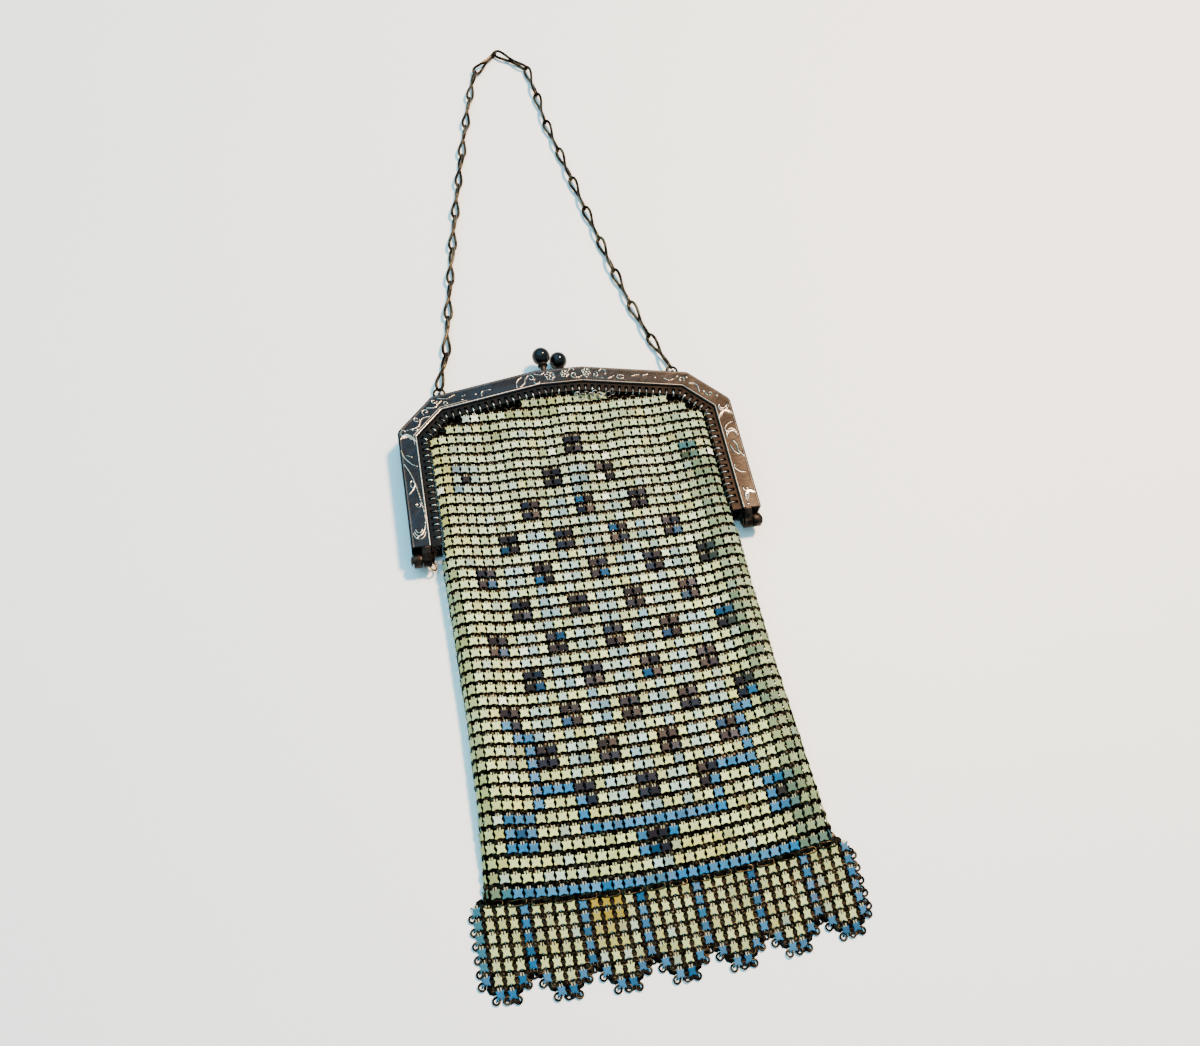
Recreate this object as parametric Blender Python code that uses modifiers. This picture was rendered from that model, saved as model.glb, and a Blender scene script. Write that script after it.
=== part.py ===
"""Metal mesh purse with a stamped arch frame, a ball clasp and a link chain.

The purse lies on its back: +Z points up out of the front face, +Y towards the
frame and chain, +X to the right. The underside of the mesh is at z = 0.
"""
import math

import bmesh
import bpy
from mathutils import Matrix, Vector

MM = 0.001

# Gap kept between neighbouring pieces, and sides of small turned pieces
CLEARANCE = 0.3 * MM
ROUND_STEPS = 10

# Arch of the frame, seen from the front
FRAME_HALF_WIDTH = 59.6 * MM
ARM_END_Y = 31.0 * MM
ARM_LENGTH = 45.2 * MM
CHAMFER_RUN = 13.0 * MM
CHAMFER_RISE = 13.3 * MM
SHOULDER_RISE = 7.0 * MM
FLAT_HALF_WIDTH = 8.4 * MM
CORNER_RADIUS = 3.0 * MM
LEAST_RADIUS = 0.4 * MM
CORNER_STEPS = 2

# Stamped channel of one frame half, with heights from the parting plane
PART_Z = 5.2 * MM
FACE_WIDTH = 6.8 * MM
FLANGE_WIDTH = 3.2 * MM
SHEET = 0.8 * MM
HALF_HEIGHT = 4.8 * MM
FLANGE_RECESS = 1.5 * MM
EDGE_BEVEL = 0.5 * MM
RELIEF_HEIGHT = 0.4 * MM
RELIEF_SINK = 0.05 * MM

# Slots in the flange for the lacing wire
SLOT_PITCH = 2.45 * MM
SLOT_WIDTH = 1.1 * MM
SLOT_LENGTH = 1.7 * MM
SLOT_END_MARGIN = 2.0 * MM
BACK_SLOT_STEP = 3

# Hinge at the end of each arm
PIVOT_DROP = 2.8 * MM
LUG_RADIUS = 2.4 * MM
LUG_WIDTH = 2.8 * MM
LUG_SIDE_MARGIN = 0.3 * MM
LUG_ROOT = 1.5 * MM
PIN_RADIUS = 0.9 * MM
PIN_HEAD_RADIUS = 1.7 * MM
PIN_HEAD_HEIGHT = 0.7 * MM
PIN_ROUNDING = 0.2 * MM

# Ears and chain
EAR_MARGIN = 3.4 * MM
EAR_X = FRAME_HALF_WIDTH - CHAMFER_RUN - EAR_MARGIN
EAR_STAND = 3.2 * MM
EAR_DROP = 2.3 * MM
EAR_RADIUS = 1.6 * MM
EAR_WIRE = 1.1 * MM
RING_RADIUS = 1.95 * MM
CHAIN_WIRE = 0.9 * MM
LINK_COUNT = 22
LOBE_HALF_WIDTH = 1.35 * MM
LINK_POINTS = 12
LINK_BITE = 0.2 * MM
STRAND_GAP = 0.06 * MM
LINK_ROLL = math.radians(24)
LINK_TWIST = math.radians(90)
CHAIN_Z = 1.85 * MM

# Route of the chain between its end rings, from the left ear to the right ear
CHAIN_ROUTE = [
    (-40.2, 103.0), (-37.0, 123.2), (-29.0, 169.6), (-22.5, 202.2),
    (-14.6, 237.8), (-7.5, 264.6), (2.8, 275.7), (15.0, 264.8),
    (17.4, 234.7), (22.6, 201.1), (28.0, 166.7), (33.4, 134.5), (41.0, 103.5),
]
ROUTE_STEPS = 12

# Ball clasp on top of the frame
CLASP_X = -1.6 * MM
CLASP_SPREAD = 6.6 * MM
CLASP_RISE = 1.8 * MM
BALL_RADIUS = 3.3 * MM
POST_LENGTH = 4.1 * MM
POST_RADIUS = 1.1 * MM
POST_FOOT_RADIUS = 1.8 * MM
POST_FLANGE = 0.8 * MM

# Mesh bag: a hollow pouch whose front and back meet at the seam
BAG_LENGTH = 169.3 * MM
BAG_DEPTH = 9.6 * MM
BAG_WALL = 0.9 * MM
SEAM_SAG = 4.2 * MM
SEAM_NOSE = 0.8 * MM
BAG_LEAN = 2.0 * MM
RIPPLE_HEIGHT = 0.7 * MM
RIPPLE_COUNT = 5
BAG_COLUMNS = 16
RIDGE_START = 0.70
RIDGE_END = 0.93
SIDE_BULGE = [dict(reach=0.60, height=0.80), dict(reach=1.00, height=0.40),
              dict(reach=0.85, height=0.10)]

# Sections of the pouch from the mouth down. "down" is a share of the length,
# "width" the half width as a share of the mouth's, and "edge" the share of that
# width where the rolled side begins. "middle" and "ridge" are the heights of the
# middle and of the side ridges, and "lift" that of the back, as shares of the
# depth. "ripple" is a share of the ripples' height.
BAG_SECTIONS = [
    dict(down=0.00, width=1.000, edge=1.000, middle=0.895, ridge=0.895, lift=0.190, ripple=0.0),
    dict(down=0.05, width=1.000, edge=1.000, middle=0.800, ridge=0.900, lift=0.060, ripple=0.8),
    dict(down=0.11, width=1.000, edge=1.000, middle=0.735, ridge=0.920, lift=0.000, ripple=1.0),
    dict(down=0.20, width=1.000, edge=1.000, middle=0.715, ridge=0.950, lift=0.000, ripple=0.6),
    dict(down=0.29, width=1.000, edge=0.985, middle=0.710, ridge=0.970, lift=0.000, ripple=0.3),
    dict(down=0.32, width=1.040, edge=0.955, middle=0.710, ridge=0.980, lift=0.000, ripple=0.2),
    dict(down=0.37, width=1.052, edge=0.930, middle=0.710, ridge=0.990, lift=0.000, ripple=0.0),
    dict(down=0.48, width=1.056, edge=0.910, middle=0.710, ridge=1.000, lift=0.000, ripple=0.0),
    dict(down=0.66, width=1.062, edge=0.900, middle=0.715, ridge=1.000, lift=0.000, ripple=0.0),
    dict(down=0.82, width=1.078, edge=0.900, middle=0.710, ridge=0.970, lift=0.000, ripple=0.0),
    dict(down=0.91, width=1.090, edge=0.915, middle=0.560, ridge=0.740, lift=0.000, ripple=0.0),
    dict(down=0.96, width=1.093, edge=0.940, middle=0.400, ridge=0.480, lift=0.000, ripple=0.0),
    dict(down=1.00, width=1.094, edge=0.985, middle=0.271, ridge=0.271, lift=0.000, ripple=0.0),
]

# First section with rolled sides: above it the pouch is open between the arms
HINGE_SECTION = sum(row["edge"] >= 1 for row in BAG_SECTIONS)

# Skirt of one layer below the seam, ending in stepped points
SKIRT_PITCH = 3.38 * MM
SKIRT_ROW = 3.8 * MM
SKIRT_THICKNESS = 0.9 * MM
SKIRT_FULL_ROWS = 5
SKIRT_POINTS = 7
POINT_COLUMNS = 5
EDGE_TRIM = 0.5
POINT_STEPS = [dict(half_columns=2, row=6), dict(half_columns=1, row=7)]

# Relief on the frame's face: place as a share of the half arch from the arm's
# end, size as a share of the face's width, and the turn of a scroll
RELIEF = [
    dict(kind="scroll", place=0.07, size=0.34, turns=1.1, start=200),
    dict(kind="scroll", place=0.20, size=0.30, turns=0.9, start=20),
    dict(kind="scroll", place=0.31, size=0.32, turns=0.9, start=200),
    dict(kind="rosette", place=0.475, size=0.36, turns=0, start=0),
    dict(kind="scroll", place=0.56, size=0.30, turns=1.0, start=40),
    dict(kind="scroll", place=0.88, size=0.32, turns=1.1, start=220),
    dict(kind="rosette", place=1.00, size=0.42, turns=0, start=0),
]
SCROLL_POINTS = 6
SCROLL_TAPER = 0.55
ROSETTE_SIDES = 12
ROSETTE_DIP = 0.72

FINISHES = {
    "tarnished_silver": dict(color=(0.23, 0.21, 0.19), roughness=0.38, metallic=1.0),
    "dark_steel": dict(color=(0.11, 0.09, 0.07), roughness=0.45, metallic=1.0),
    "black_enamel": dict(color=(0.012, 0.012, 0.014), roughness=0.12, metallic=0.0),
    "chain_metal": dict(color=(0.20, 0.16, 0.11), roughness=0.35, metallic=1.0),
    "enamel_mesh": dict(color=(0.74, 0.78, 0.66), roughness=0.4, metallic=0.2),
}


def clear_scene():
    for obj in list(bpy.data.objects):
        bpy.data.objects.remove(obj)


def new_collection(name):
    collection = bpy.data.collections.new(name)
    bpy.context.scene.collection.children.link(collection)
    return collection


def finish(name):
    """The material of a sub-part, made once and shared."""
    material = bpy.data.materials.get(name)
    if material:
        return material
    values = FINISHES[name]
    material = bpy.data.materials.new(name)
    material.use_nodes = True
    shader = material.node_tree.nodes["Principled BSDF"]
    shader.inputs["Base Color"].default_value = (*values["color"], 1.0)
    shader.inputs["Roughness"].default_value = values["roughness"]
    shader.inputs["Metallic"].default_value = values["metallic"]
    return material


def add_mesh(name, bm, collection):
    """An object from a bmesh, with its faces turned outwards."""
    bmesh.ops.recalc_face_normals(bm, faces=bm.faces)
    if bm.calc_volume(signed=True) < 0:
        bmesh.ops.reverse_faces(bm, faces=bm.faces)
    mesh = bpy.data.meshes.new(name)
    bm.to_mesh(mesh)
    bm.free()
    obj = bpy.data.objects.new(name, mesh)
    collection.objects.link(obj)
    return obj


def set_finish(obj, name):
    obj.data.materials.clear()
    obj.data.materials.append(finish(name))


def smooth(obj, angle=35):
    obj.data.shade_smooth()
    obj.data.set_sharp_from_angle(angle=math.radians(angle))


def baked(obj, collection):
    """A plain mesh of an object with its modifiers or bevel applied, in world space."""
    bpy.context.view_layer.update()
    evaluated = obj.evaluated_get(bpy.context.evaluated_depsgraph_get())
    mesh = bpy.data.meshes.new_from_object(evaluated)
    mesh.transform(obj.matrix_world)
    bm = bmesh.new()
    bm.from_mesh(mesh)
    bmesh.ops.remove_doubles(bm, verts=bm.verts, dist=0.00002)
    name = obj.name
    bpy.data.objects.remove(obj)
    bpy.data.meshes.remove(mesh)
    return add_mesh(name, bm, collection)


def combine(target, others, operation, collection):
    """The target with other closed solids joined to it or cut from it, one by one."""
    for other in others:
        modifier = target.modifiers.new(operation, "BOOLEAN")
        modifier.operation = operation
        modifier.solver = "EXACT"
        modifier.object = other
        target = baked(target, collection)
        bpy.data.objects.remove(other)
    return target


def loft(name, rings, collection):
    """A closed solid through rings of equally many points, capped at both ends."""
    bm = bmesh.new()
    rows = [[bm.verts.new(point) for point in ring] for ring in rings]
    count = len(rings[0])
    for lower, upper in zip(rows, rows[1:]):
        for i in range(count):
            j = (i + 1) % count
            bm.faces.new((lower[i], lower[j], upper[j], upper[i]))
    bm.faces.new(rows[0])
    bm.faces.new(rows[-1])
    return add_mesh(name, bm, collection)


def prism(name, outline, direction, collection):
    """A flat outline made solid along a direction."""
    bm = bmesh.new()
    face = bm.faces.new([bm.verts.new(point) for point in outline])
    grown = bmesh.ops.extrude_face_region(bm, geom=[face])
    moved = [item for item in grown["geom"] if isinstance(item, bmesh.types.BMVert)]
    bmesh.ops.translate(bm, verts=moved, vec=direction)
    return add_mesh(name, bm, collection)


def box(name, size, matrix, collection):
    bm = bmesh.new()
    bmesh.ops.create_cube(bm, size=1.0)
    bmesh.ops.scale(bm, vec=size, verts=bm.verts)
    bmesh.ops.transform(bm, matrix=matrix, verts=bm.verts)
    return add_mesh(name, bm, collection)


def turned(name, profile, steps, collection):
    """A profile of (radius, height) pairs turned about the local Z axis."""
    mesh = bpy.data.meshes.new(name)
    edges = [(i, i + 1) for i in range(len(profile) - 1)]
    mesh.from_pydata([(radius, 0.0, height) for radius, height in profile], edges, [])
    obj = bpy.data.objects.new(name, mesh)
    collection.objects.link(obj)
    screw = obj.modifiers.new("turn", "SCREW")
    screw.steps = steps
    screw.render_steps = steps
    screw.use_merge_vertices = True
    screw.merge_threshold = 0.00001
    return obj


def wire(name, points, thickness, cyclic, collection):
    """A round wire through points, as a welded mesh."""
    curve = bpy.data.curves.new(name, "CURVE")
    curve.dimensions = "3D"
    curve.bevel_depth = thickness / 2
    curve.bevel_resolution = 1
    curve.use_fill_caps = not cyclic
    spline = curve.splines.new("POLY")
    spline.points.add(len(points) - 1)
    for spot, point in zip(spline.points, points):
        spot.co = (*point, 1.0)
    spline.use_cyclic_u = cyclic
    obj = bpy.data.objects.new(name, curve)
    collection.objects.link(obj)
    return baked(obj, collection)


def smoothstep(low, high, value):
    t = min(max((value - low) / (high - low), 0.0), 1.0)
    return t * t * (3 - 2 * t)


# The arch

FRAME_TOP_Y = ARM_END_Y + ARM_LENGTH + CHAMFER_RISE + SHOULDER_RISE
FLANGE_INSET = FACE_WIDTH + FLANGE_WIDTH


def arch_corners():
    """Corners of the outer arch from the left arm's end to the right arm's end."""
    right = [
        Vector((FLAT_HALF_WIDTH, FRAME_TOP_Y)),
        Vector((FRAME_HALF_WIDTH - CHAMFER_RUN, FRAME_TOP_Y - SHOULDER_RISE)),
        Vector((FRAME_HALF_WIDTH, ARM_END_Y + ARM_LENGTH)),
        Vector((FRAME_HALF_WIDTH, ARM_END_Y)),
    ]
    left = [Vector((-point.x, point.y)) for point in reversed(right)]
    return left + right


def meet(point_a, along_a, point_b, along_b):
    """Where two straight lines in the plane meet."""
    cross = along_a.x * along_b.y - along_a.y * along_b.x
    gap = point_b - point_a
    return point_a + along_a * ((gap.x * along_b.y - gap.y * along_b.x) / cross)


def arch(inset):
    """The arch moved inward, with each corner rounded in the same number of steps."""
    corners = arch_corners()
    lines = []
    for start, end in zip(corners, corners[1:]):
        along = (end - start).normalized()
        inward = Vector((along.y, -along.x))
        lines.append((start + inward * inset, along))
    points = [lines[0][0]]
    radius = max(CORNER_RADIUS - inset, LEAST_RADIUS)
    for (spot_a, along_a), (spot_b, along_b) in zip(lines, lines[1:]):
        corner = meet(spot_a, along_a, spot_b, along_b)
        turn = along_a.angle_signed(along_b)
        back = radius * math.tan(abs(turn) / 2)
        centre = corner - along_a * back + Vector((along_a.y, -along_a.x)) * radius
        for step in range(CORNER_STEPS + 1):
            arm = Vector((-along_a.y, along_a.x)) * radius
            arm.rotate(Matrix.Rotation(-turn * step / CORNER_STEPS, 2))
            points.append(centre + arm)
    points.append(Vector((lines[-1][0].x, corners[-1].y)))
    return points


def along_arch(inset, distance):
    """Point, direction and inward side at a distance along the arch."""
    points = arch(inset)
    for start, end in zip(points, points[1:]):
        step = (end - start).length
        if distance <= step:
            break
        distance -= step
    along = (end - start).normalized()
    return start + along * distance, along, Vector((along.y, -along.x))


def arch_length(inset):
    points = arch(inset)
    return sum((b - a).length for a, b in zip(points, points[1:]))


def shoulder_y(x):
    """Height of the outer arch on its shoulder at a distance from the middle."""
    start, end = arch_corners()[4:6]
    return start.y + (end.y - start.y) * (abs(x) - start.x) / (end.x - start.x)


# Frame halves

def channel_section():
    """Outline of the stamped channel as (inset, height over the parting plane)."""
    foot = CLEARANCE / 2
    top = HALF_HEIGHT
    shelf = HALF_HEIGHT - FLANGE_RECESS
    return [
        (0.0, foot), (0.0, top - EDGE_BEVEL), (EDGE_BEVEL, top),
        (FACE_WIDTH - EDGE_BEVEL, top), (FACE_WIDTH, top - EDGE_BEVEL),
        (FACE_WIDTH, shelf), (FLANGE_INSET, shelf), (FLANGE_INSET, shelf - SHEET),
        (FACE_WIDTH - SHEET, shelf - SHEET), (FACE_WIDTH - SHEET, top - SHEET),
        (SHEET, top - SHEET), (SHEET, foot),
    ]


def channel(name, side, collection):
    """The channel swept round the arch, above or below the parting plane."""
    lanes = [[(p.x, p.y, PART_Z + side * height) for p in arch(inset)]
             for inset, height in channel_section()]
    return loft(name, list(zip(*lanes)), collection)


def slot_cutters(side, step, collection):
    """One box for each slot of the flange, spaced evenly along it."""
    inset = FACE_WIDTH + FLANGE_WIDTH / 2
    run = arch_length(inset) - 2 * SLOT_END_MARGIN
    pitch = SLOT_PITCH * step
    count = int(run / pitch) + 1
    start = SLOT_END_MARGIN + (run - (count - 1) * pitch) / 2
    height = PART_Z + side * (HALF_HEIGHT - FLANGE_RECESS - SHEET / 2)
    bm = bmesh.new()
    for i in range(count):
        spot, along, inward = along_arch(inset, start + i * pitch)
        turn = Matrix(((along.x, inward.x, 0, spot.x), (along.y, inward.y, 0, spot.y),
                       (0, 0, 1, height), (0, 0, 0, 1)))
        made = bmesh.ops.create_cube(bm, size=1.0)
        size = (SLOT_WIDTH, SLOT_LENGTH, SHEET * 3)
        bmesh.ops.scale(bm, vec=size, verts=made["verts"])
        bmesh.ops.transform(bm, matrix=turn, verts=made["verts"])
    cutter = add_mesh("slot_cutter", bm, collection)
    cutter.hide_render = True
    cutter.display_type = "WIRE"
    return cutter


def hinge_lug(side, hand, collection):
    """Plate from an arm's end round the pivot; front lugs lie inside the back ones."""
    pivot_y = ARM_END_Y - PIVOT_DROP
    top = HALF_HEIGHT - SHEET / 3
    outer = FRAME_HALF_WIDTH - LUG_SIDE_MARGIN
    if side > 0:
        outer -= LUG_WIDTH + CLEARANCE
    root = ARM_END_Y + LUG_ROOT
    low = LUG_RADIUS / 4
    outline = [(root, low), (root, top), (ARM_END_Y - CLEARANCE, top)]
    for step in range(11):
        angle = math.radians(100 + 26 * step)
        outline.append((pivot_y + LUG_RADIUS * math.cos(angle), LUG_RADIUS * math.sin(angle)))
    outline.append((pivot_y + LUG_RADIUS, low))
    points = [(hand * outer, y, PART_Z + side * h) for y, h in outline]
    return prism("lug", points, (-hand * LUG_WIDTH, 0, 0), collection)


def pin_hole(hand, collection):
    """Cutter for the rivet's hole through a lug."""
    cutter = turned("pin_cutter", [(0, LUG_WIDTH * 4), (PIN_RADIUS + CLEARANCE, LUG_WIDTH * 4),
                                   (PIN_RADIUS + CLEARANCE, -LUG_WIDTH * 4),
                                   (0, -LUG_WIDTH * 4)], ROUND_STEPS, collection)
    middle = FRAME_HALF_WIDTH - LUG_SIDE_MARGIN - LUG_WIDTH
    cutter.location = (hand * middle, ARM_END_Y - PIVOT_DROP, PART_Z)
    cutter.rotation_euler = (0, math.radians(90), 0)
    cutter.hide_render = True
    cutter.display_type = "WIRE"
    return baked(cutter, collection)


def scroll(row, side, hand, collection):
    """A rounded spiral ridge, half sunk in the frame's face."""
    spot, along, inward = relief_place(row, hand)
    radius = row["size"] * FACE_WIDTH
    height = PART_Z + side * (HALF_HEIGHT - RELIEF_SINK)
    points = []
    for i in range(SCROLL_POINTS + 1):
        share = i / SCROLL_POINTS
        angle = math.radians(row["start"]) + math.tau * row["turns"] * share
        reach = radius * (1 - SCROLL_TAPER * share)
        offset = along * (reach * math.cos(angle) * hand) + inward * (reach * math.sin(angle))
        points.append((spot.x + offset.x, spot.y + offset.y, height))
    return wire("scroll", points, 2 * RELIEF_HEIGHT, False, collection)


def rosette(row, side, hand, collection):
    """A low flower with lobed petals on the frame's face."""
    spot, along, inward = relief_place(row, hand)
    radius = row["size"] * FACE_WIDTH
    bm = bmesh.new()
    made = bmesh.ops.create_cone(bm, cap_ends=True, segments=ROSETTE_SIDES, radius1=radius,
                                 radius2=radius * 0.55, depth=2 * RELIEF_HEIGHT)
    for vert in made["verts"]:
        sector = round(math.atan2(vert.co.y, vert.co.x) / (math.tau / ROSETTE_SIDES))
        if sector % 2:
            vert.co.xy *= ROSETTE_DIP
    if side < 0:
        bmesh.ops.scale(bm, vec=(1, 1, -1), verts=bm.verts)
    height = PART_Z + side * (HALF_HEIGHT - RELIEF_SINK)
    bmesh.ops.translate(bm, vec=(spot.x, spot.y, height), verts=bm.verts)
    return add_mesh("rosette", bm, collection)


def relief_place(row, hand):
    """Where a relief ornament sits on the middle line of the face."""
    inset = FACE_WIDTH / 2
    half = arch_length(inset) / 2
    distance = half * row["place"] if hand < 0 else half * (2 - row["place"])
    return along_arch(inset, distance)


def reliefs(side, collection):
    makers = {"scroll": scroll, "rosette": rosette}
    made = []
    for row in RELIEF:
        hands = (-1,) if row["place"] >= 1 else (-1, 1)
        for hand in hands:
            made.append(makers[row["kind"]](row, side, hand, collection))
    return made


def ear(hand, collection):
    """Eye on a short stem behind the frame's shoulder, which holds the chain's ring."""
    wall_y = shoulder_y(EAR_X)
    z = PART_Z - EAR_DROP
    centre = Vector((hand * EAR_X, wall_y + EAR_STAND, z))
    points = []
    for i in range(12):
        angle = math.tau * (i + 0.5) / 12
        points.append(centre + Vector((0, math.cos(angle), math.sin(angle))) * EAR_RADIUS)
    eye = wire("ear", points, EAR_WIRE, True, collection)
    stem_length = EAR_STAND - EAR_RADIUS + SHEET
    stem_y = wall_y - SHEET / 2 + stem_length / 2
    size = (EAR_WIRE * 1.5, stem_length, EAR_WIRE * 2)
    stem = box("stem", size, Matrix.Translation((hand * EAR_X, stem_y, z)), collection)
    return [stem, eye]


def frame_half(name, side, slot_step, part, cutters):
    half = channel(name, side, part)
    additions = [hinge_lug(side, hand, part) for hand in (-1, 1)] + reliefs(side, part)
    if side < 0:
        additions += ear(-1, part) + ear(1, part)
    half = combine(half, additions, "UNION", part)
    cuts = [slot_cutters(side, slot_step, cutters), pin_hole(-1, cutters), pin_hole(1, cutters)]
    half = combine(half, cuts, "DIFFERENCE", part)
    set_finish(half, "tarnished_silver")
    smooth(half, 30)
    return half


# Hinge pins

def hinge_pin(name, hand, part):
    """Rivet through the two lugs of an arm, with a head at each end."""
    length = 2 * LUG_WIDTH + CLEARANCE
    shank = length / 2 + CLEARANCE
    top = shank + PIN_HEAD_HEIGHT
    profile = [(0, top), (PIN_HEAD_RADIUS * 0.7, top), (PIN_HEAD_RADIUS, shank + PIN_ROUNDING),
               (PIN_HEAD_RADIUS, shank), (PIN_RADIUS, shank), (PIN_RADIUS, -shank),
               (PIN_HEAD_RADIUS, -shank), (PIN_HEAD_RADIUS, -shank - PIN_ROUNDING),
               (PIN_HEAD_RADIUS * 0.7, -top), (0, -top)]
    pin = turned(name, profile, ROUND_STEPS, part)
    middle = FRAME_HALF_WIDTH - LUG_SIDE_MARGIN - length / 2
    pin.location = (hand * middle, ARM_END_Y - PIVOT_DROP, PART_Z)
    pin.rotation_euler = (0, math.radians(90), 0)
    set_finish(pin, "dark_steel")
    smooth(pin)


# Ball clasp

def clasp(side_name, hand, side, part):
    """Post on the top edge of one frame half, and the ball that it carries."""
    x = CLASP_X + hand * CLASP_SPREAD / 2
    z = PART_Z + side * CLASP_RISE
    foot_y = FRAME_TOP_Y + CLEARANCE
    profile = [(0, POST_LENGTH), (POST_FOOT_RADIUS, POST_LENGTH),
               (POST_FOOT_RADIUS, POST_LENGTH - POST_FLANGE),
               (POST_RADIUS, POST_LENGTH - 2 * POST_FLANGE), (POST_RADIUS, POST_FLANGE),
               (POST_FOOT_RADIUS, POST_FLANGE), (POST_FOOT_RADIUS, 0), (0, 0)]
    post = turned("clasp_post_" + side_name, profile, ROUND_STEPS, part)
    post.location = (x, foot_y, z)
    post.rotation_euler = (math.radians(-90), 0, 0)
    set_finish(post, "dark_steel")
    smooth(post)
    bm = bmesh.new()
    bmesh.ops.create_uvsphere(bm, u_segments=14, v_segments=8, radius=BALL_RADIUS)
    ball = add_mesh("clasp_ball_" + side_name, bm, part)
    ball.location = (x, foot_y + POST_LENGTH + CLEARANCE + BALL_RADIUS, z)
    set_finish(ball, "black_enamel")
    smooth(ball, 60)


# Chain

def ring_centre(hand):
    """Middle of an end ring, whose near side passes through the ear."""
    y = shoulder_y(EAR_X) + EAR_STAND + RING_RADIUS
    return Vector((hand * EAR_X, y, PART_Z - EAR_DROP))


def chain_joints():
    """Points where links meet, evenly spaced along a smooth curve through the route."""
    start = ring_centre(-1) + Vector((0, RING_RADIUS, 0))
    end = ring_centre(1) + Vector((0, RING_RADIUS, 0))
    knots = [start] + [Vector((x * MM, y * MM, CHAIN_Z)) for x, y in CHAIN_ROUTE] + [end]
    fine = []
    for i in range(len(knots) - 1):
        before = knots[max(i - 1, 0)]
        after = knots[min(i + 2, len(knots) - 1)]
        for step in range(ROUTE_STEPS):
            u = step / ROUTE_STEPS
            a, b = knots[i], knots[i + 1]
            fine.append(0.5 * ((2 * a) + (b - before) * u
                               + (2 * before - 5 * a + 4 * b - after) * u * u
                               + (3 * a - before - 3 * b + after) * u**3))
    fine.append(knots[-1])
    lengths = [0.0]
    for a, b in zip(fine, fine[1:]):
        lengths.append(lengths[-1] + (b - a).length)
    joints = []
    for i in range(LINK_COUNT + 1):
        goal = lengths[-1] * i / LINK_COUNT
        k = max(j for j in range(len(fine) - 1) if lengths[j] <= goal)
        u = (goal - lengths[k]) / (lengths[k + 1] - lengths[k])
        joints.append(fine[k].lerp(fine[k + 1], min(u, 1.0)))
    return joints


def link_wire(start, end, roll):
    """Centre line of a figure-eight link, twisted a quarter turn from end to end."""
    middle = (start + end) / 2
    along = (end - start).normalized()
    side = along.cross(Vector((0, 0, 1))).normalized()
    up = side.cross(along)
    reach = (end - start).length / 2 + (CHAIN_WIRE - LINK_BITE) / 2
    cross_gap = CHAIN_WIRE / 2 + STRAND_GAP
    points = []
    for i in range(LINK_POINTS):
        phase = math.tau * (i + 0.5) / LINK_POINTS
        travel = math.cos(phase)
        angle = roll + LINK_TWIST / 2 * travel
        across = side * math.cos(angle) + up * math.sin(angle)
        normal = up * math.cos(angle) - side * math.sin(angle)
        width = LOBE_HALF_WIDTH * math.sin(2 * phase)
        lift = cross_gap * math.sin(phase)
        points.append(middle + along * (reach * travel) + across * width + normal * lift)
    return points


def chain(part):
    """All links and both end rings, fused into one body."""
    joints = chain_joints()
    pieces = []
    for hand in (-1, 1):
        centre = ring_centre(hand)
        points = [centre + Vector((math.cos(a), math.sin(a), 0)) * RING_RADIUS
                  for a in (math.tau * i / 12 for i in range(12))]
        pieces.append(wire("ring", points, CHAIN_WIRE, True, part))
    for i, (start, end) in enumerate(zip(joints, joints[1:])):
        roll = LINK_ROLL * (1 if i % 3 else 0.4)
        pieces.append(wire("link", link_wire(start, end, roll), CHAIN_WIRE, True, part))
    ordered = [pieces[0]] + pieces[2:] + [pieces[1]]
    ordered[0].name = "chain"
    fused = combine(ordered[0], ordered[1:], "UNION", part)
    set_finish(fused, "chain_metal")
    smooth(fused, 50)


# Mesh bag

MOUTH_HALF_WIDTH = FRAME_HALF_WIDTH - FLANGE_INSET - CLEARANCE
SEAM_Y = FRAME_TOP_Y - FLANGE_INSET - CLEARANCE - BAG_LENGTH


def mouth_y(x):
    """Upper edge of the pouch, just inside the flange of the arch."""
    points = arch(FLANGE_INSET + CLEARANCE)
    reach = min(abs(x), points[-1].x - 0.000001)
    for start, end in zip(points[len(points) // 2:], points[len(points) // 2 + 1:]):
        if start.x <= reach <= end.x and end.x > start.x:
            return start.y + (end.y - start.y) * (reach - start.x) / (end.x - start.x)
    return points[len(points) // 2].y


def seam_y(x):
    """Line where front and back meet, hanging lower in the middle."""
    return SEAM_Y + SEAM_SAG * ((x / (MOUTH_HALF_WIDTH * BAG_SECTIONS[-1]["width"]))**2)


def lean(share):
    """Sideways drift of the pouch below the hinge."""
    hinge = BAG_SECTIONS[HINGE_SECTION]["down"]
    return BAG_LEAN * max(share - hinge, 0.0) / (1 - hinge)


def bag_point(across, row, face):
    """A point of the pouch's outer face, from -1 to 1 across its front or back."""
    x = across * row["width"] * row["edge"] * MOUTH_HALF_WIDTH
    y = mouth_y(x) * (1 - row["down"]) + seam_y(x) * row["down"]
    if face == "front":
        rise = smoothstep(RIDGE_START, RIDGE_END, abs(across))
        wave = RIPPLE_HEIGHT * row["ripple"] * math.cos(math.pi * RIPPLE_COUNT * across)
        z = BAG_DEPTH * (row["middle"] * (1 - rise) + row["ridge"] * rise) + wave * (1 - rise)
    else:
        z = BAG_DEPTH * row["lift"]
    return Vector((x + lean(row["down"]), y, z))


def side_points(row, hand):
    """Points of the rolled side between the front's and the back's edge."""
    front = bag_point(hand, row, "front")
    back = bag_point(hand, row, "back")
    roll = hand * row["width"] * (1 - row["edge"]) * MOUTH_HALF_WIDTH
    points = []
    for spot in SIDE_BULGE:
        point = back.lerp(front, spot["height"])
        point.x += roll * spot["reach"]
        points.append(point)
    return points


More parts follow.
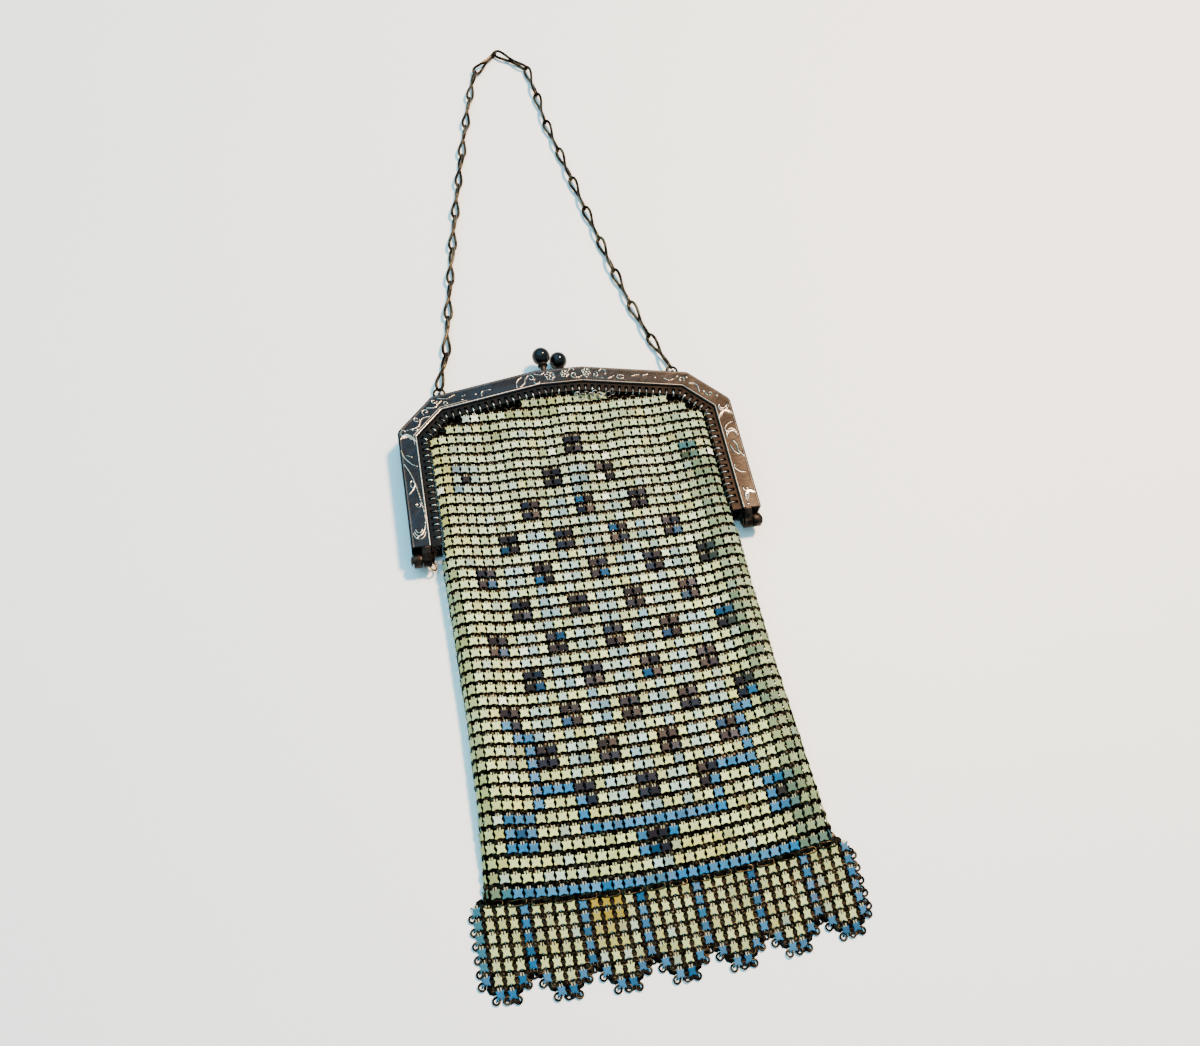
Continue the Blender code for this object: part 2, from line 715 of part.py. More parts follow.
def mesh_bag(part):
    """The pouch as an open surface with a wall: mouth and both sides above the hinge open."""
    bm = bmesh.new()
    spans = range(BAG_COLUMNS + 1)
    front = []
    back = []
    sides = {-1: [], 1: []}
    for i, row in enumerate(BAG_SECTIONS):
        across = [2 * j / BAG_COLUMNS - 1 for j in spans]
        front.append([bm.verts.new(bag_point(a, row, "front")) for a in across])
        back.append([bm.verts.new(bag_point(a, row, "back")) for a in across])
        for hand in (-1, 1):
            rolled = [] if i < HINGE_SECTION else side_points(row, hand)
            sides[hand].append([bm.verts.new(point) for point in rolled])
    for i in range(len(BAG_SECTIONS) - 1):
        for j in range(BAG_COLUMNS):
            bm.faces.new((front[i][j], front[i][j + 1], front[i + 1][j + 1], front[i + 1][j]))
            bm.faces.new((back[i][j + 1], back[i][j], back[i + 1][j], back[i + 1][j + 1]))
        if i < HINGE_SECTION:
            continue
        for hand, j in ((-1, 0), (1, BAG_COLUMNS)):
            upper = [front[i][j]] + sides[hand][i] + [back[i][j]]
            lower = [front[i + 1][j]] + sides[hand][i + 1] + [back[i + 1][j]]
            for k in range(len(upper) - 1):
                bm.faces.new((upper[k], upper[k + 1], lower[k + 1], lower[k]))
    nose = []
    for high, low in zip(front[-1], back[-1]):
        middle = (high.co + low.co) / 2
        nose.append(bm.verts.new(middle - Vector((0, SEAM_NOSE, 0))))
    for j in range(BAG_COLUMNS):
        bm.faces.new((front[-1][j], front[-1][j + 1], nose[j + 1], nose[j]))
        bm.faces.new((nose[j], nose[j + 1], back[-1][j + 1], back[-1][j]))
    for hand, j in ((-1, 0), (1, BAG_COLUMNS)):
        rim = [front[-1][j]] + sides[hand][-1] + [back[-1][j]]
        for a, b in zip(rim, rim[1:]):
            bm.faces.new((a, b, nose[j]))
    bag = add_mesh("mesh_bag", bm, part)
    wall = bag.modifiers.new("wall", "SOLIDIFY")
    wall.thickness = BAG_WALL
    wall.offset = -1
    wall.use_even_offset = True
    set_finish(bag, "enamel_mesh")
    smooth(bag, 60)


# Skirt

def skirt_point(columns, rows):
    """A corner of the skirt, in columns from its middle and rows below the seam."""
    x = columns * SKIRT_PITCH
    top = seam_y(x) - SEAM_NOSE - CLEARANCE
    return (x + BAG_LEAN, top - rows * SKIRT_ROW, 0.0)


def skirt(part):
    """One flat layer below the seam, its lower edge in stepped points."""
    half_columns = SKIRT_POINTS * POINT_COLUMNS / 2 - EDGE_TRIM
    top_steps = 2 * SKIRT_POINTS
    outline = [skirt_point(half_columns * (2 * i / top_steps - 1), 0) for i in range(top_steps + 1)]
    lower = []
    for point in range(SKIRT_POINTS):
        centre = (point - (SKIRT_POINTS - 1) / 2) * POINT_COLUMNS
        last_half, last_row = POINT_COLUMNS / 2, SKIRT_FULL_ROWS
        left = []
        for step in POINT_STEPS:
            left.append((-step["half_columns"], last_row))
            left.append((-step["half_columns"], step["row"]))
            last_row = step["row"]
        right = [(-columns, row) for columns, row in reversed(left)]
        lower += [(centre + columns, row) for columns, row in left + right]
    first_column, last_column = -half_columns, half_columns
    lower = [(max(min(c, last_column), first_column), row) for c, row in lower]
    corners = [(last_column, SKIRT_FULL_ROWS)] + list(reversed(lower))
    corners.append((first_column, SKIRT_FULL_ROWS))
    kept = []
    for corner in corners:
        if not kept or corner != kept[-1]:
            kept.append(corner)
    outline += [skirt_point(columns, rows) for columns, rows in kept]
    layer = prism("skirt", outline, (0, 0, SKIRT_THICKNESS), part)
    set_finish(layer, "enamel_mesh")


def main():
    clear_scene()
    part = new_collection("mesh_purse")
    cutters = new_collection("cutters")
    frame_half("frame_front", 1, 1, part, cutters)
    frame_half("frame_back", -1, BACK_SLOT_STEP, part, cutters)
    hinge_pin("hinge_pin_left", -1, part)
    hinge_pin("hinge_pin_right", 1, part)
    clasp("left", -1, 1, part)
    clasp("right", 1, -1, part)
    chain(part)
    mesh_bag(part)
    skirt(part)


main()
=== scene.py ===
"""Looks of the metal mesh purse: star plates on rings, stamped frame and link chain.

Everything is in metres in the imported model's frame: +Z out of the front face, +Y
towards the frame and chain, +X to the right. Lengths below are in millimetres and
are turned into metres where a mesh is made.
"""
import math
import random

import bmesh
import bpy
import numpy as np
from mathutils import Matrix, Vector


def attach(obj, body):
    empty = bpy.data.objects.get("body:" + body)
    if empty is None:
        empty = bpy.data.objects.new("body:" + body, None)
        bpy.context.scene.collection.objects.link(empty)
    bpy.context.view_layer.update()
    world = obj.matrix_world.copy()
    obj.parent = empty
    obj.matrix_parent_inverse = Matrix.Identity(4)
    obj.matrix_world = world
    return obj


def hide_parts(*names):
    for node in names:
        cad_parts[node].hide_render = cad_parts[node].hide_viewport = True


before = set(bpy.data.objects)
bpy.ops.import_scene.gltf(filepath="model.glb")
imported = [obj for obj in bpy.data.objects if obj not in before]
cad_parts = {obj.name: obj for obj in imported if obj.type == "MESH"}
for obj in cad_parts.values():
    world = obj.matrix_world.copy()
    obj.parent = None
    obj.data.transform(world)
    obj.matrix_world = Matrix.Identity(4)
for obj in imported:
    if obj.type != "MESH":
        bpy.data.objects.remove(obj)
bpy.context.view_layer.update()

MM = 0.001
CLEARANCE = 0.3

# Arch of the frame
FRAME_HALF_WIDTH = 59.6
ARM_END_Y = 31.0
ARM_LENGTH = 45.2
CHAMFER_RUN = 13.0
CHAMFER_RISE = 13.3
SHOULDER_RISE = 7.0
FLAT_HALF_WIDTH = 8.4
FRAME_TOP_Y = ARM_END_Y + ARM_LENGTH + CHAMFER_RISE + SHOULDER_RISE
CORNER_RADIUS = 3.0
LEAST_RADIUS = 0.4
CORNER_STEPS = 6

# Stamped channel
PART_Z = 5.2
FACE_WIDTH = 6.8
FLANGE_WIDTH = 3.2
FLANGE_INSET = FACE_WIDTH + FLANGE_WIDTH
SHEET = 0.8
HALF_HEIGHT = 4.8
FLANGE_RECESS = 1.5
SLOT_PITCH = 2.45
SLOT_WIDTH = 1.1
SLOT_LENGTH = 1.7
SLOT_END_MARGIN = 2.0

# Hinge, ears and chain
PIVOT_Y = ARM_END_Y - 2.8
LUG_RADIUS = 2.4
LUG_WIDTH = 2.8
LUG_SIDE_MARGIN = 0.3
LUG_ROOT = 1.5
LUG_BEVEL = 0.18
PIN_RADIUS = 0.9
PIN_HEAD_RADIUS = 1.7
PIN_HEAD_HEIGHT = 0.7
EAR_X = 43.2
EAR_STAND = 3.2
EAR_DROP = 2.3
EAR_RADIUS = 1.6
EAR_WIRE = 1.1
RING_RADIUS = 1.95
CHAIN_WIRE = 0.9
LINK_SWELL = 1.3
LINK_COUNT = 22
LOBE_HALF_WIDTH = 1.35
LINK_BITE = 0.2
STRAND_GAP = 0.06
LINK_ROLL = math.radians(24)
LINK_TWIST = math.radians(90)
CHAIN_Z = 1.85
CHAIN_ROUTE = [
    (-40.2, 103.0), (-37.0, 123.2), (-29.0, 169.6), (-22.5, 202.2),
    (-14.6, 237.8), (-7.5, 264.6), (2.8, 275.7), (15.0, 264.8),
    (17.4, 234.7), (22.6, 201.1), (28.0, 166.7), (33.4, 134.5), (41.0, 103.5),
]
ROUTE_STEPS = 12

# Ball clasp
CLASP_X = -1.6
CLASP_SPREAD = 6.6
CLASP_RISE = 1.8
BALL_RADIUS = 3.3
POST_LENGTH = 4.1
POST_RADIUS = 1.1
POST_FOOT_RADIUS = 1.8
POST_FLANGE = 0.8

# Pouch
MOUTH_HALF_WIDTH = FRAME_HALF_WIDTH - FLANGE_INSET - CLEARANCE
MOUTH_TOP_Y = FRAME_TOP_Y - FLANGE_INSET - CLEARANCE
BAG_LENGTH = 169.3
BAG_DEPTH = 9.6
SEAM_SAG = 4.2
BAG_LEAN = 2.0
HINGE_DOWN = 0.29
RIPPLE_HEIGHT = 0.7
RIPPLE_COUNT = 5
RIDGE_START = 0.70
RIDGE_END = 0.93
SIDE_BULGE = [(0.60, 0.80), (1.00, 0.40), (0.85, 0.10)]
PROFILE_STEPS = 26

# Sections of the pouch: share of its length, half width as a share of the mouth's,
# share of that where the rolled side begins, heights of middle, ridges and back as
# shares of the depth, and share of the ripples
SECTION_KEYS = ("down", "width", "edge", "middle", "ridge", "lift", "ripple")
SECTIONS = np.array([
    (0.00, 1.000, 1.000, 0.895, 0.895, 0.190, 0.0),
    (0.05, 1.000, 1.000, 0.800, 0.900, 0.060, 0.8),
    (0.11, 1.000, 1.000, 0.735, 0.920, 0.000, 1.0),
    (0.20, 1.000, 1.000, 0.715, 0.950, 0.000, 0.6),
    (0.29, 1.000, 0.985, 0.710, 0.970, 0.000, 0.3),
    (0.32, 1.040, 0.955, 0.710, 0.980, 0.000, 0.2),
    (0.37, 1.052, 0.930, 0.710, 0.990, 0.000, 0.0),
    (0.48, 1.056, 0.910, 0.710, 1.000, 0.000, 0.0),
    (0.66, 1.062, 0.900, 0.715, 1.000, 0.000, 0.0),
    (0.82, 1.078, 0.900, 0.710, 0.970, 0.000, 0.0),
    (0.91, 1.090, 0.915, 0.560, 0.740, 0.000, 0.0),
    (0.96, 1.093, 0.940, 0.400, 0.480, 0.000, 0.0),
    (1.00, 1.094, 0.985, 0.271, 0.271, 0.000, 0.0),
])

# Lattice of the plates
COLUMNS = 34
BODY_ROWS = 42
COLUMN_PITCH = 3.1
PITCH_WIDTH = 1.056
ROW_PITCH = 3.96
ROW_ZERO_Y = 87.5
SIDE_COLUMNS = 1
HALF_COLUMNS = COLUMNS / 2
AROUND = 2 * (COLUMNS + SIDE_COLUMNS)
SKIRT_PITCH = 3.38
SKIRT_ROW_PITCH = 3.72
SKIRT_FIRST_DROP = 4.0
SKIRT_ROWS = 7
SKIRT_FULL_ROWS = 5
SKIRT_Z = 0.85
SKIRT_DROOP = 1.1
SKIRT_DRIFT = 0.25
POINT_COLUMNS = 5
UNDER_LAYER = 0.55
EDGE_MARGIN = 0.37
DIVIDER_ROW = 0.46
DIVIDER_SINK = 0.1

# Random tilt of plates and rings, in degrees
PLATE_TILT = 2.8
RING_TILT = 7.0
SKIRT_TILT = 3.0
SKIRT_RING_TILT = 5.0
UNDER_TILT = 2.0
UNDER_RING_TILT = 4.0
LACING_TILT = 6.0
SLACK_TILT = 8.0

# One star plate: half sizes at its hollow sides and at its corners, tongues and arms
BODY_PLATE = ((1.03, 0.92), (1.45, 1.30))
SKIRT_PLATE = ((0.84, 0.82), (1.18, 1.22))
CORNER_CUT = 0.26
CORNER_DISTANCE = 1.4
TONGUE_SIZE = (0.38, 0.95, 0.16)
TONGUE_PLACE = (0.38, 1.45, -0.16)
ARM_REACH = 0.65
ARM_DROP = 0.45
PLATE_SHEET = 0.24
PLATE_CROWN = 0.07
CROWN_INSET = 0.16

# Rings as (radius, wire, steps, sides), how deep they sit, and prongs behind them, whose dark
# patches are widened to fill the gaps with painted shade
BODY_RING = (1.05, 0.50, 10, 4)
SKIRT_RING = (1.0, 0.66, 10, 4)
OVAL_RING = (0.85, 0.50, 12, 4)
OVAL_STRETCH = 1.85
LACING_RING = (1.22, 0.5, 12, 5)
SLACK_RING = (1.05, 0.4, 14, 6)
JUMP_RING = (1.35, 0.6, 24, 10)
SLACK_COUNT = 9
SLACK_Z = 8.9
JUMP_PLACE = (-53.2, 26.4, 3.4)
RING_SINK = 0.42
SKIRT_RING_SINK = 0.22
EDGE_RING_PULL = 0.22
PRONG_SHADE_REACH = (1.85, 1.95)
PRONG_SHADE_SHEET = 0.12
PRONG_SHADE_SINK = 1.0
SEAM_PRONG_SHADE_SINK = 1.3
SKIRT_PRONG_SHADE_SINK = 0.60
HEAD_PRONG_SHADE_SINK = 1.05

# Enamel colours, linear
CREAM = Vector((0.52, 0.56, 0.16))
MINT = Vector((0.43, 0.57, 0.32))
CHALK = Vector((0.66, 0.72, 0.56))
SKY = Vector((0.002, 0.095, 0.23))
PALE_BLUE = Vector((0.20, 0.38, 0.52))
TEAL = Vector((0.03, 0.12, 0.14))
NIGHT = Vector((0.008, 0.006, 0.008))
OCHRE = Vector((0.21, 0.145, 0.002))
# OLIVE and STRAW tint plates at random, and are also laid on by place as painted shade and painted
# light.
OLIVE = Vector((0.15, 0.18, 0.05))
STRAW = Vector((0.50, 0.45, 0.08))
# Painted shade for the fold and the right side wall.
FOLD_SHADE_GREEN = Vector((0.07, 0.12, 0.07))
# Light tone laid over the tongues as a painted glint of their metal.
TONGUE_GLINT_TONE = np.array((0.40, 0.39, 0.24))
TONGUE_GLINT_SHARE = 0.65
SKIRT_DULLING = 0.74

random.seed(7)


# Meshes and objects

def to_mesh(name, bm, outwards=True, unit=MM):
    """A mesh in metres made from a bmesh, which is freed."""
    if outwards:
        bmesh.ops.recalc_face_normals(bm, faces=bm.faces)
    if unit != 1.0:
        bmesh.ops.scale(bm, vec=(unit, unit, unit), verts=bm.verts)
    mesh = bpy.data.meshes.new(name)
    bm.to_mesh(mesh)
    bm.free()
    return mesh


def in_scene(name, data):
    obj = bpy.data.objects.new(name, data)
    bpy.context.scene.collection.objects.link(obj)
    return obj


def piece(name, mesh, material, replaced=(), smooth_angle=None):
    """A finished piece that rides on the purse and may stand for nodes of the part."""
    obj = in_scene(name, mesh)
    mesh.materials.append(material)
    if smooth_angle is not None:
        mesh.shade_smooth()
        mesh.set_sharp_from_angle(angle=math.radians(smooth_angle))
    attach(obj, "root")
    if replaced:
        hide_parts(*replaced)
    return obj


def joined(name, meshes, material, replaced=(), smooth_angle=45):
    """One piece made of several small meshes."""
    bm = bmesh.new()
    for mesh in meshes:
        bm.from_mesh(mesh)
        bpy.data.meshes.remove(mesh)
    bmesh.ops.remove_doubles(bm, verts=bm.verts, dist=0.000005)
    piece(name, to_mesh(name, bm, unit=1.0), material, replaced, smooth_angle)


def repeat(name, pattern, places):
    """One mesh that holds a copy of the pattern at each place."""
    bm = bmesh.new()
    for place in places:
        copy = pattern.copy()
        copy.transform(place)
        bm.from_mesh(copy)
        bpy.data.meshes.remove(copy)
    return to_mesh(name, bm, outwards=False, unit=1.0)


def slab(outline, shift):
    """An outline filled and pulled out into a closed plate."""
    bm = bmesh.new()
    face = bm.faces.new([bm.verts.new(point) for point in outline])
    grown = bmesh.ops.extrude_face_region(bm, geom=[face])["geom"]
    bmesh.ops.translate(bm, verts=new_verts(grown), vec=shift)
    return bm


def new_verts(grown):
    return [item for item in grown if isinstance(item, bmesh.types.BMVert)]


def store_values(mesh, name, values):
    attribute = mesh.attributes.new(name, "FLOAT", "POINT")
    attribute.data.foreach_set("value", np.asarray(values, np.float32).ravel())


def store_colours(mesh, name, colours):
    attribute = mesh.attributes.new(name, "FLOAT_COLOR", "POINT")
    colours = np.asarray(colours, np.float32)
    packed = np.ones((len(colours), 4), np.float32)
    packed[:, :3] = colours
    attribute.data.foreach_set("color", packed.ravel())


def smoothstep(low, high, value):
    t = min(max((value - low) / (high - low), 0.0), 1.0)
    return t * t * (3 - 2 * t)


# Arch of the frame

def arch_corners():
    right = [
        Vector((FLAT_HALF_WIDTH, FRAME_TOP_Y)),
        Vector((FRAME_HALF_WIDTH - CHAMFER_RUN, FRAME_TOP_Y - SHOULDER_RISE)),
        Vector((FRAME_HALF_WIDTH, ARM_END_Y + ARM_LENGTH)),
        Vector((FRAME_HALF_WIDTH, ARM_END_Y)),
    ]
    left = [Vector((-point.x, point.y)) for point in reversed(right)]
    return left + right


def meet(point_a, along_a, point_b, along_b):
    cross = along_a.x * along_b.y - along_a.y * along_b.x
    gap = point_b - point_a
    return point_a + along_a * ((gap.x * along_b.y - gap.y * along_b.x) / cross)


def arch(inset):
    """The arch moved inward, with each corner rounded in the same number of steps."""
    corners = arch_corners()
    lines = []
    for start, end in zip(corners, corners[1:]):
        along = (end - start).normalized()
        inward = Vector((along.y, -along.x))
        lines.append((start + inward * inset, along))
    points = [lines[0][0]]
    radius = max(CORNER_RADIUS - inset, LEAST_RADIUS)
    for (spot_a, along_a), (spot_b, along_b) in zip(lines, lines[1:]):
        corner = meet(spot_a, along_a, spot_b, along_b)
        turn = along_a.angle_signed(along_b)
        back = radius * math.tan(abs(turn) / 2)
        centre = corner - along_a * back + Vector((along_a.y, -along_a.x)) * radius
        for step in range(CORNER_STEPS + 1):
            arm = Vector((-along_a.y, along_a.x)) * radius
            arm.rotate(Matrix.Rotation(-turn * step / CORNER_STEPS, 2))
            points.append(centre + arm)
    points.append(Vector((lines[-1][0].x, corners[-1].y)))
    return points


def along_arch(inset, distance):
    points = arch(inset)
    for start, end in zip(points, points[1:]):
        step = (end - start).length
        if distance <= step:
            break
        distance -= step
    along = (end - start).normalized()
    return start + along * distance, along, Vector((along.y, -along.x))


def arch_length(inset):
    points = arch(inset)
    return sum((b - a).length for a, b in zip(points, points[1:]))


def shoulder_y(x):
    start, end = arch_corners()[4:6]
    return start.y + (end.y - start.y) * (abs(x) - start.x) / (end.x - start.x)


# Surface of the pouch

MOUTH_LINE = np.array([point for point in arch(FLANGE_INSET + CLEARANCE) if point.x >= 0][:-1]).T


def mouth_y(x):
    return float(np.interp(abs(x), *MOUTH_LINE))


def seam_y(x):
    seam = MOUTH_TOP_Y - BAG_LENGTH
    return seam + SEAM_SAG * (x / (MOUTH_HALF_WIDTH * SECTIONS[-1][1]))**2


def lean(y):
    """Sideways drift of the pouch below the hinge."""
    down = (MOUTH_TOP_Y - y) / BAG_LENGTH
    return BAG_LEAN * max(down - HINGE_DOWN, 0.0) / (1 - HINGE_DOWN)


def section(down):
    """The section at a share of the length, on a smooth curve through the table."""
    down = min(max(down, 0.0), 1.0)
    rows = SECTIONS
    i = min(int(np.searchsorted(rows[:, 0], down, side="right")) - 1, len(rows) - 2)
    u = (down - rows[i, 0]) / (rows[i + 1, 0] - rows[i, 0])
    u = u * u * (3 - 2 * u) * 0.5 + u * 0.5
    values = rows[i] * (1 - u) + rows[i + 1] * u
    return dict(zip(SECTION_KEYS, values))


def front_height(x, y):
    """Height of the front at a place measured from the leaning middle line."""
    top = mouth_y(x)
    down = (top - y) / (top - seam_y(x))
    row = section(down)
    across = min(abs(x) / (row["width"] * row["edge"] * MOUTH_HALF_WIDTH), 1.0)
    rise = smoothstep(RIDGE_START, RIDGE_END, across)
    wave = RIPPLE_HEIGHT * row["ripple"] * math.cos(math.pi * RIPPLE_COUNT * across)
    flat = BAG_DEPTH * (row["middle"] * (1 - rise) + row["ridge"] * rise)
    return flat + wave * (1 - rise), row


def row_y(x, row):
    """Middle of a row of plates, which hangs lower in the middle of the pouch."""
    sag = SEAM_SAG * (row / BODY_ROWS)**1.5 * (1 - (x / (COLUMN_PITCH * HALF_COLUMNS))**2)
    return ROW_ZERO_Y - ROW_PITCH * row - max(sag, 0.0)


def half_profile(y):
    """Outline of half the tube at a height: distance out and z, from front to back."""
    steps = range(PROFILE_STEPS + 1)
    row = front_height(0.0, y)[1]
    edge = row["width"] * row["edge"] * MOUTH_HALF_WIDTH
    roll = row["width"] * (1 - row["edge"]) * MOUTH_HALF_WIDTH
    back_z = BAG_DEPTH * row["lift"]
    points = [(x, front_height(x, y)[0]) for x in (edge * i / PROFILE_STEPS for i in steps)]
    rise = points[-1][1] - back_z
    points += [(edge + roll * reach, back_z + rise * share) for reach, share in SIDE_BULGE]
    points += [(edge * (1 - i / PROFILE_STEPS), back_z) for i in steps]
    points = np.array(points)
    for _ in range(3):
        inner = points[1:-1] * 0.5 + (points[:-2] + points[2:]) * 0.25
        points = np.vstack([points[:1], inner, points[-1:]])
    return points


PROFILES = {}


def tube_point(columns, y):
    """A point of the tube counted in columns from the front's middle line."""
    key = round(y * 2)
    if key not in PROFILES:
        points = half_profile(key / 2)
        steps = np.hypot(*np.diff(points, axis=0).T)
        PROFILES[key] = (points, np.concatenate([[0.0], np.cumsum(steps)]))
    points, lengths = PROFILES[key]
    width = section((MOUTH_TOP_Y - y) / BAG_LENGTH)["width"]
    pitch = COLUMN_PITCH * max(width / PITCH_WIDTH, 1.0)
    reach = abs(columns) * pitch
    if abs(columns) > HALF_COLUMNS:
        rest = (lengths[-1] - HALF_COLUMNS * pitch) / (HALF_COLUMNS + SIDE_COLUMNS)
        reach = HALF_COLUMNS * pitch + (abs(columns) - HALF_COLUMNS) * rest
    x, z = (float(np.interp(reach, lengths, line)) for line in points.T)
    return Vector((math.copysign(x, columns) + lean(y), y, z))


def tube_place(columns, row, sink=0.0, tilt=0.0):
    """Frame of a place on the tube: x along the row, z outwards."""
    count = abs(columns)
    if count > HALF_COLUMNS:
        count = AROUND / 2 - count
    y = row_y(COLUMN_PITCH * min(count, HALF_COLUMNS), row)
    here = tube_point(columns, y)
    right = (tube_point(columns + 0.25, y) - tube_point(columns - 0.25, y)).normalized()
    down = (tube_point(columns, y - 1.5) - tube_point(columns, y + 1.5)).normalized()
    out = right.cross(-down).normalized()
    up = out.cross(right).normalized()
    return placed(here - out * sink, right, up, out, tilt)


X_AXIS, Y_AXIS, Z_AXIS = UPRIGHT = [Vector(row) for row in Matrix.Identity(3)]


def placed(point, right, up, out, tilt=0.0):
    """A matrix in metres from a point and three axes, tilted a little at random."""
    turn = Matrix((right, up, out)).transposed().to_4x4()
    if tilt:
        for axis, share in (("X", 1.0), ("Y", 1.0), ("Z", 0.6)):
            turn = turn @ Matrix.Rotation(math.radians(random.gauss(0, tilt) * share), 4, axis)
    turn.translation = Vector(point) * MM
    return turn


# One plate and one ring

def plate_pattern(form, armed=False, tongued=True):
    """Star plate with a low crown.

    Arms run from its corners into the rings, and two tongues lie over the row above."""
    (side_x, side_y), (corner_x, corner_y) = form
    low_x, low_y = corner_x - CORNER_CUT, corner_y - CORNER_CUT
    half = [(side_x, 0), (corner_x, low_y), (low_x, corner_y),
            (0, side_y), (-low_x, corner_y), (-corner_x, low_y)]
    outline = half + [(-x, -y) for x, y in half]
    bm = bmesh.new()
    bmesh.ops.create_circle(bm, cap_ends=True, radius=1.0, segments=len(outline))
    for vert in bm.verts:
        share = math.atan2(vert.co.y, vert.co.x) / math.tau
        vert.co = (*outline[round(share * len(outline)) % len(outline)], 0.0)
    bmesh.ops.inset_region(bm, faces=bm.faces[:], thickness=CROWN_INSET,
                           depth=PLATE_CROWN, use_even_offset=True, use_boundary=True)
    if armed:
        corners = [edge for edge in bm.edges if edge.is_boundary
                   and (edge.verts[0].co + edge.verts[1].co).length > 2 * CORNER_DISTANCE]
        for vert in new_verts(bmesh.ops.extrude_edge_only(bm, edges=corners)["geom"]):
            away = Vector((math.copysign(COLUMN_PITCH, vert.co.x),
                           math.copysign(ROW_PITCH, vert.co.y), 0)).normalized()
            vert.co += away * ARM_REACH - Vector((0, 0, ARM_DROP))
    bmesh.ops.recalc_face_normals(bm, faces=bm.faces)
    if sum(face.normal.z for face in bm.faces) < 0:
        bmesh.ops.reverse_faces(bm, faces=bm.faces)
    bmesh.ops.solidify(bm, geom=bm.faces[:], thickness=PLATE_SHEET)
    bmesh.ops.triangulate(bm, faces=[face for face in bm.faces if len(face.verts) > 4])
    for hand in (-1, 1) if tongued else ():
        place = Matrix.Translation((hand * TONGUE_PLACE[0], *TONGUE_PLACE[1:]))
        bmesh.ops.create_cube(bm, size=1.0, matrix=place @ Matrix.Diagonal((*TONGUE_SIZE, 1.0)))
    return to_mesh("star_plate", bm)


def loop_pattern(radius, wire, steps, sides, stretch=0.0):
    """A round wire ring, or an oval one when it is stretched along x."""
    bm = bmesh.new()
    bmesh.ops.create_circle(bm, cap_ends=False, radius=wire / 2, segments=sides)
    bmesh.ops.rotate(bm, verts=bm.verts, matrix=Matrix.Rotation(math.radians(90), 3, "X"))
    bmesh.ops.translate(bm, verts=bm.verts, vec=(radius, 0, 0))
    bmesh.ops.spin(bm, geom=bm.edges[:] + bm.verts[:], cent=(0, 0, 0), axis=(0, 0, 1),
                   angle=math.tau, steps=steps, use_merge=True)
    for vert in bm.verts:
        vert.co.x += math.copysign(stretch, vert.co.x) if abs(vert.co.x) > 0.01 else 0.0
    return to_mesh("wire_ring", bm)


def prong_shade_pattern():
    """Prongs of four plates folded together behind a ring, as one thin dark patch, made wide
    enough to fill the gaps around it with painted shade.
    """
    bm = bmesh.new()
    bmesh.ops.create_circle(bm, cap_ends=True, radius=1.0, segments=8)
    bmesh.ops.scale(bm, vec=(*PRONG_SHADE_REACH, 1.0), verts=bm.verts)
    bmesh.ops.solidify(bm, geom=bm.faces[:], thickness=PRONG_SHADE_SHEET)
    return to_mesh("prongs_and_shade", bm)


# Which plates are where

# Boxes of the chart outside its diamonds: kind, rows, and columns from either side
BOXES = [
    ("night", (38, 38), (4, 4)), ("sky", (37, 39), (3, 5)), ("night", (8, 8), (4, 4)),
    ("night", (39, 40), (16, 16)), ("sky", (39, 40), (15, 15)), ("pale", (41, 41), (16, 16)),
    ("sky", (38, 38), (10, 16)), ("sky", (31, 31), (5, 6)), ("sky", (32, 36), (6, 6)),
    ("sky", (35, 35), (6, 9)), ("sky", (36, 38), (10, 10)), ("sky", (30, 30), (4, 4)),
]


def body_colour(column, row):
    """Colour kind of a body plate: the chart is nearly alike on both sides of the middle."""
    c = min(column, COLUMNS - 1 - column)
    if row == BODY_ROWS:
        return "teal" if column < 3 else "sky"
    for kind, rows, columns in BOXES:
        if rows[0] <= row <= rows[1] and columns[0] <= c <= columns[1]:
            return kind
    if 7 <= row <= 9 and 3 <= c <= 5:
        if column > c:
            return "teal" if row < 9 and c < 5 else "cream"
        return "sky" if (row + c) % 2 == 0 and c == 3 else "pale"
    return diamond_colour(c, row)


def diamond_colour(c, row):
    """Dark blocks of four in staggered rows that narrow to a point at both ends."""
    band, place = divmod(row - 5, 3)
    if row < 5 or band > 10:
        return "cream"
    shift = 0 if band % 2 == 0 else 3
    from_middle = 16.5 - c
    block = abs((from_middle - shift + 3) % 6 - 3)
    outer = (0, 3, 6, 9, 12, 9, 12, 9, 12, 9, 6)[band]
    if place == 2:
        single = round(from_middle * 2) % 6 == 1
        return "pale" if single and from_middle < outer else "cream"
    if block < 1 and from_middle < outer + 1:
        return "night"
    if block > 2 and from_middle < outer + 2:
        return "pale"
    return "cream"


def skirt_columns(row):
    """Columns that hold plates in a row of the skirt, which ends in seven points."""
    if row <= SKIRT_FULL_ROWS:
        return list(range(COLUMNS))
    first = row - SKIRT_FULL_ROWS - 1
    last = POINT_COLUMNS - 2 - first
    return [column for column in range(COLUMNS) if first <= column % POINT_COLUMNS <= last]


def skirt_colour(column, row):
    if row > SKIRT_FULL_ROWS:
        return "sky" if row == SKIRT_ROWS or column % POINT_COLUMNS in (0, 3) else "cream"
    if column == 0:
        return "teal"
    return "sky" if column in (COLUMNS - 1, 4, 9, 14, 19, 24, 29) else "cream"


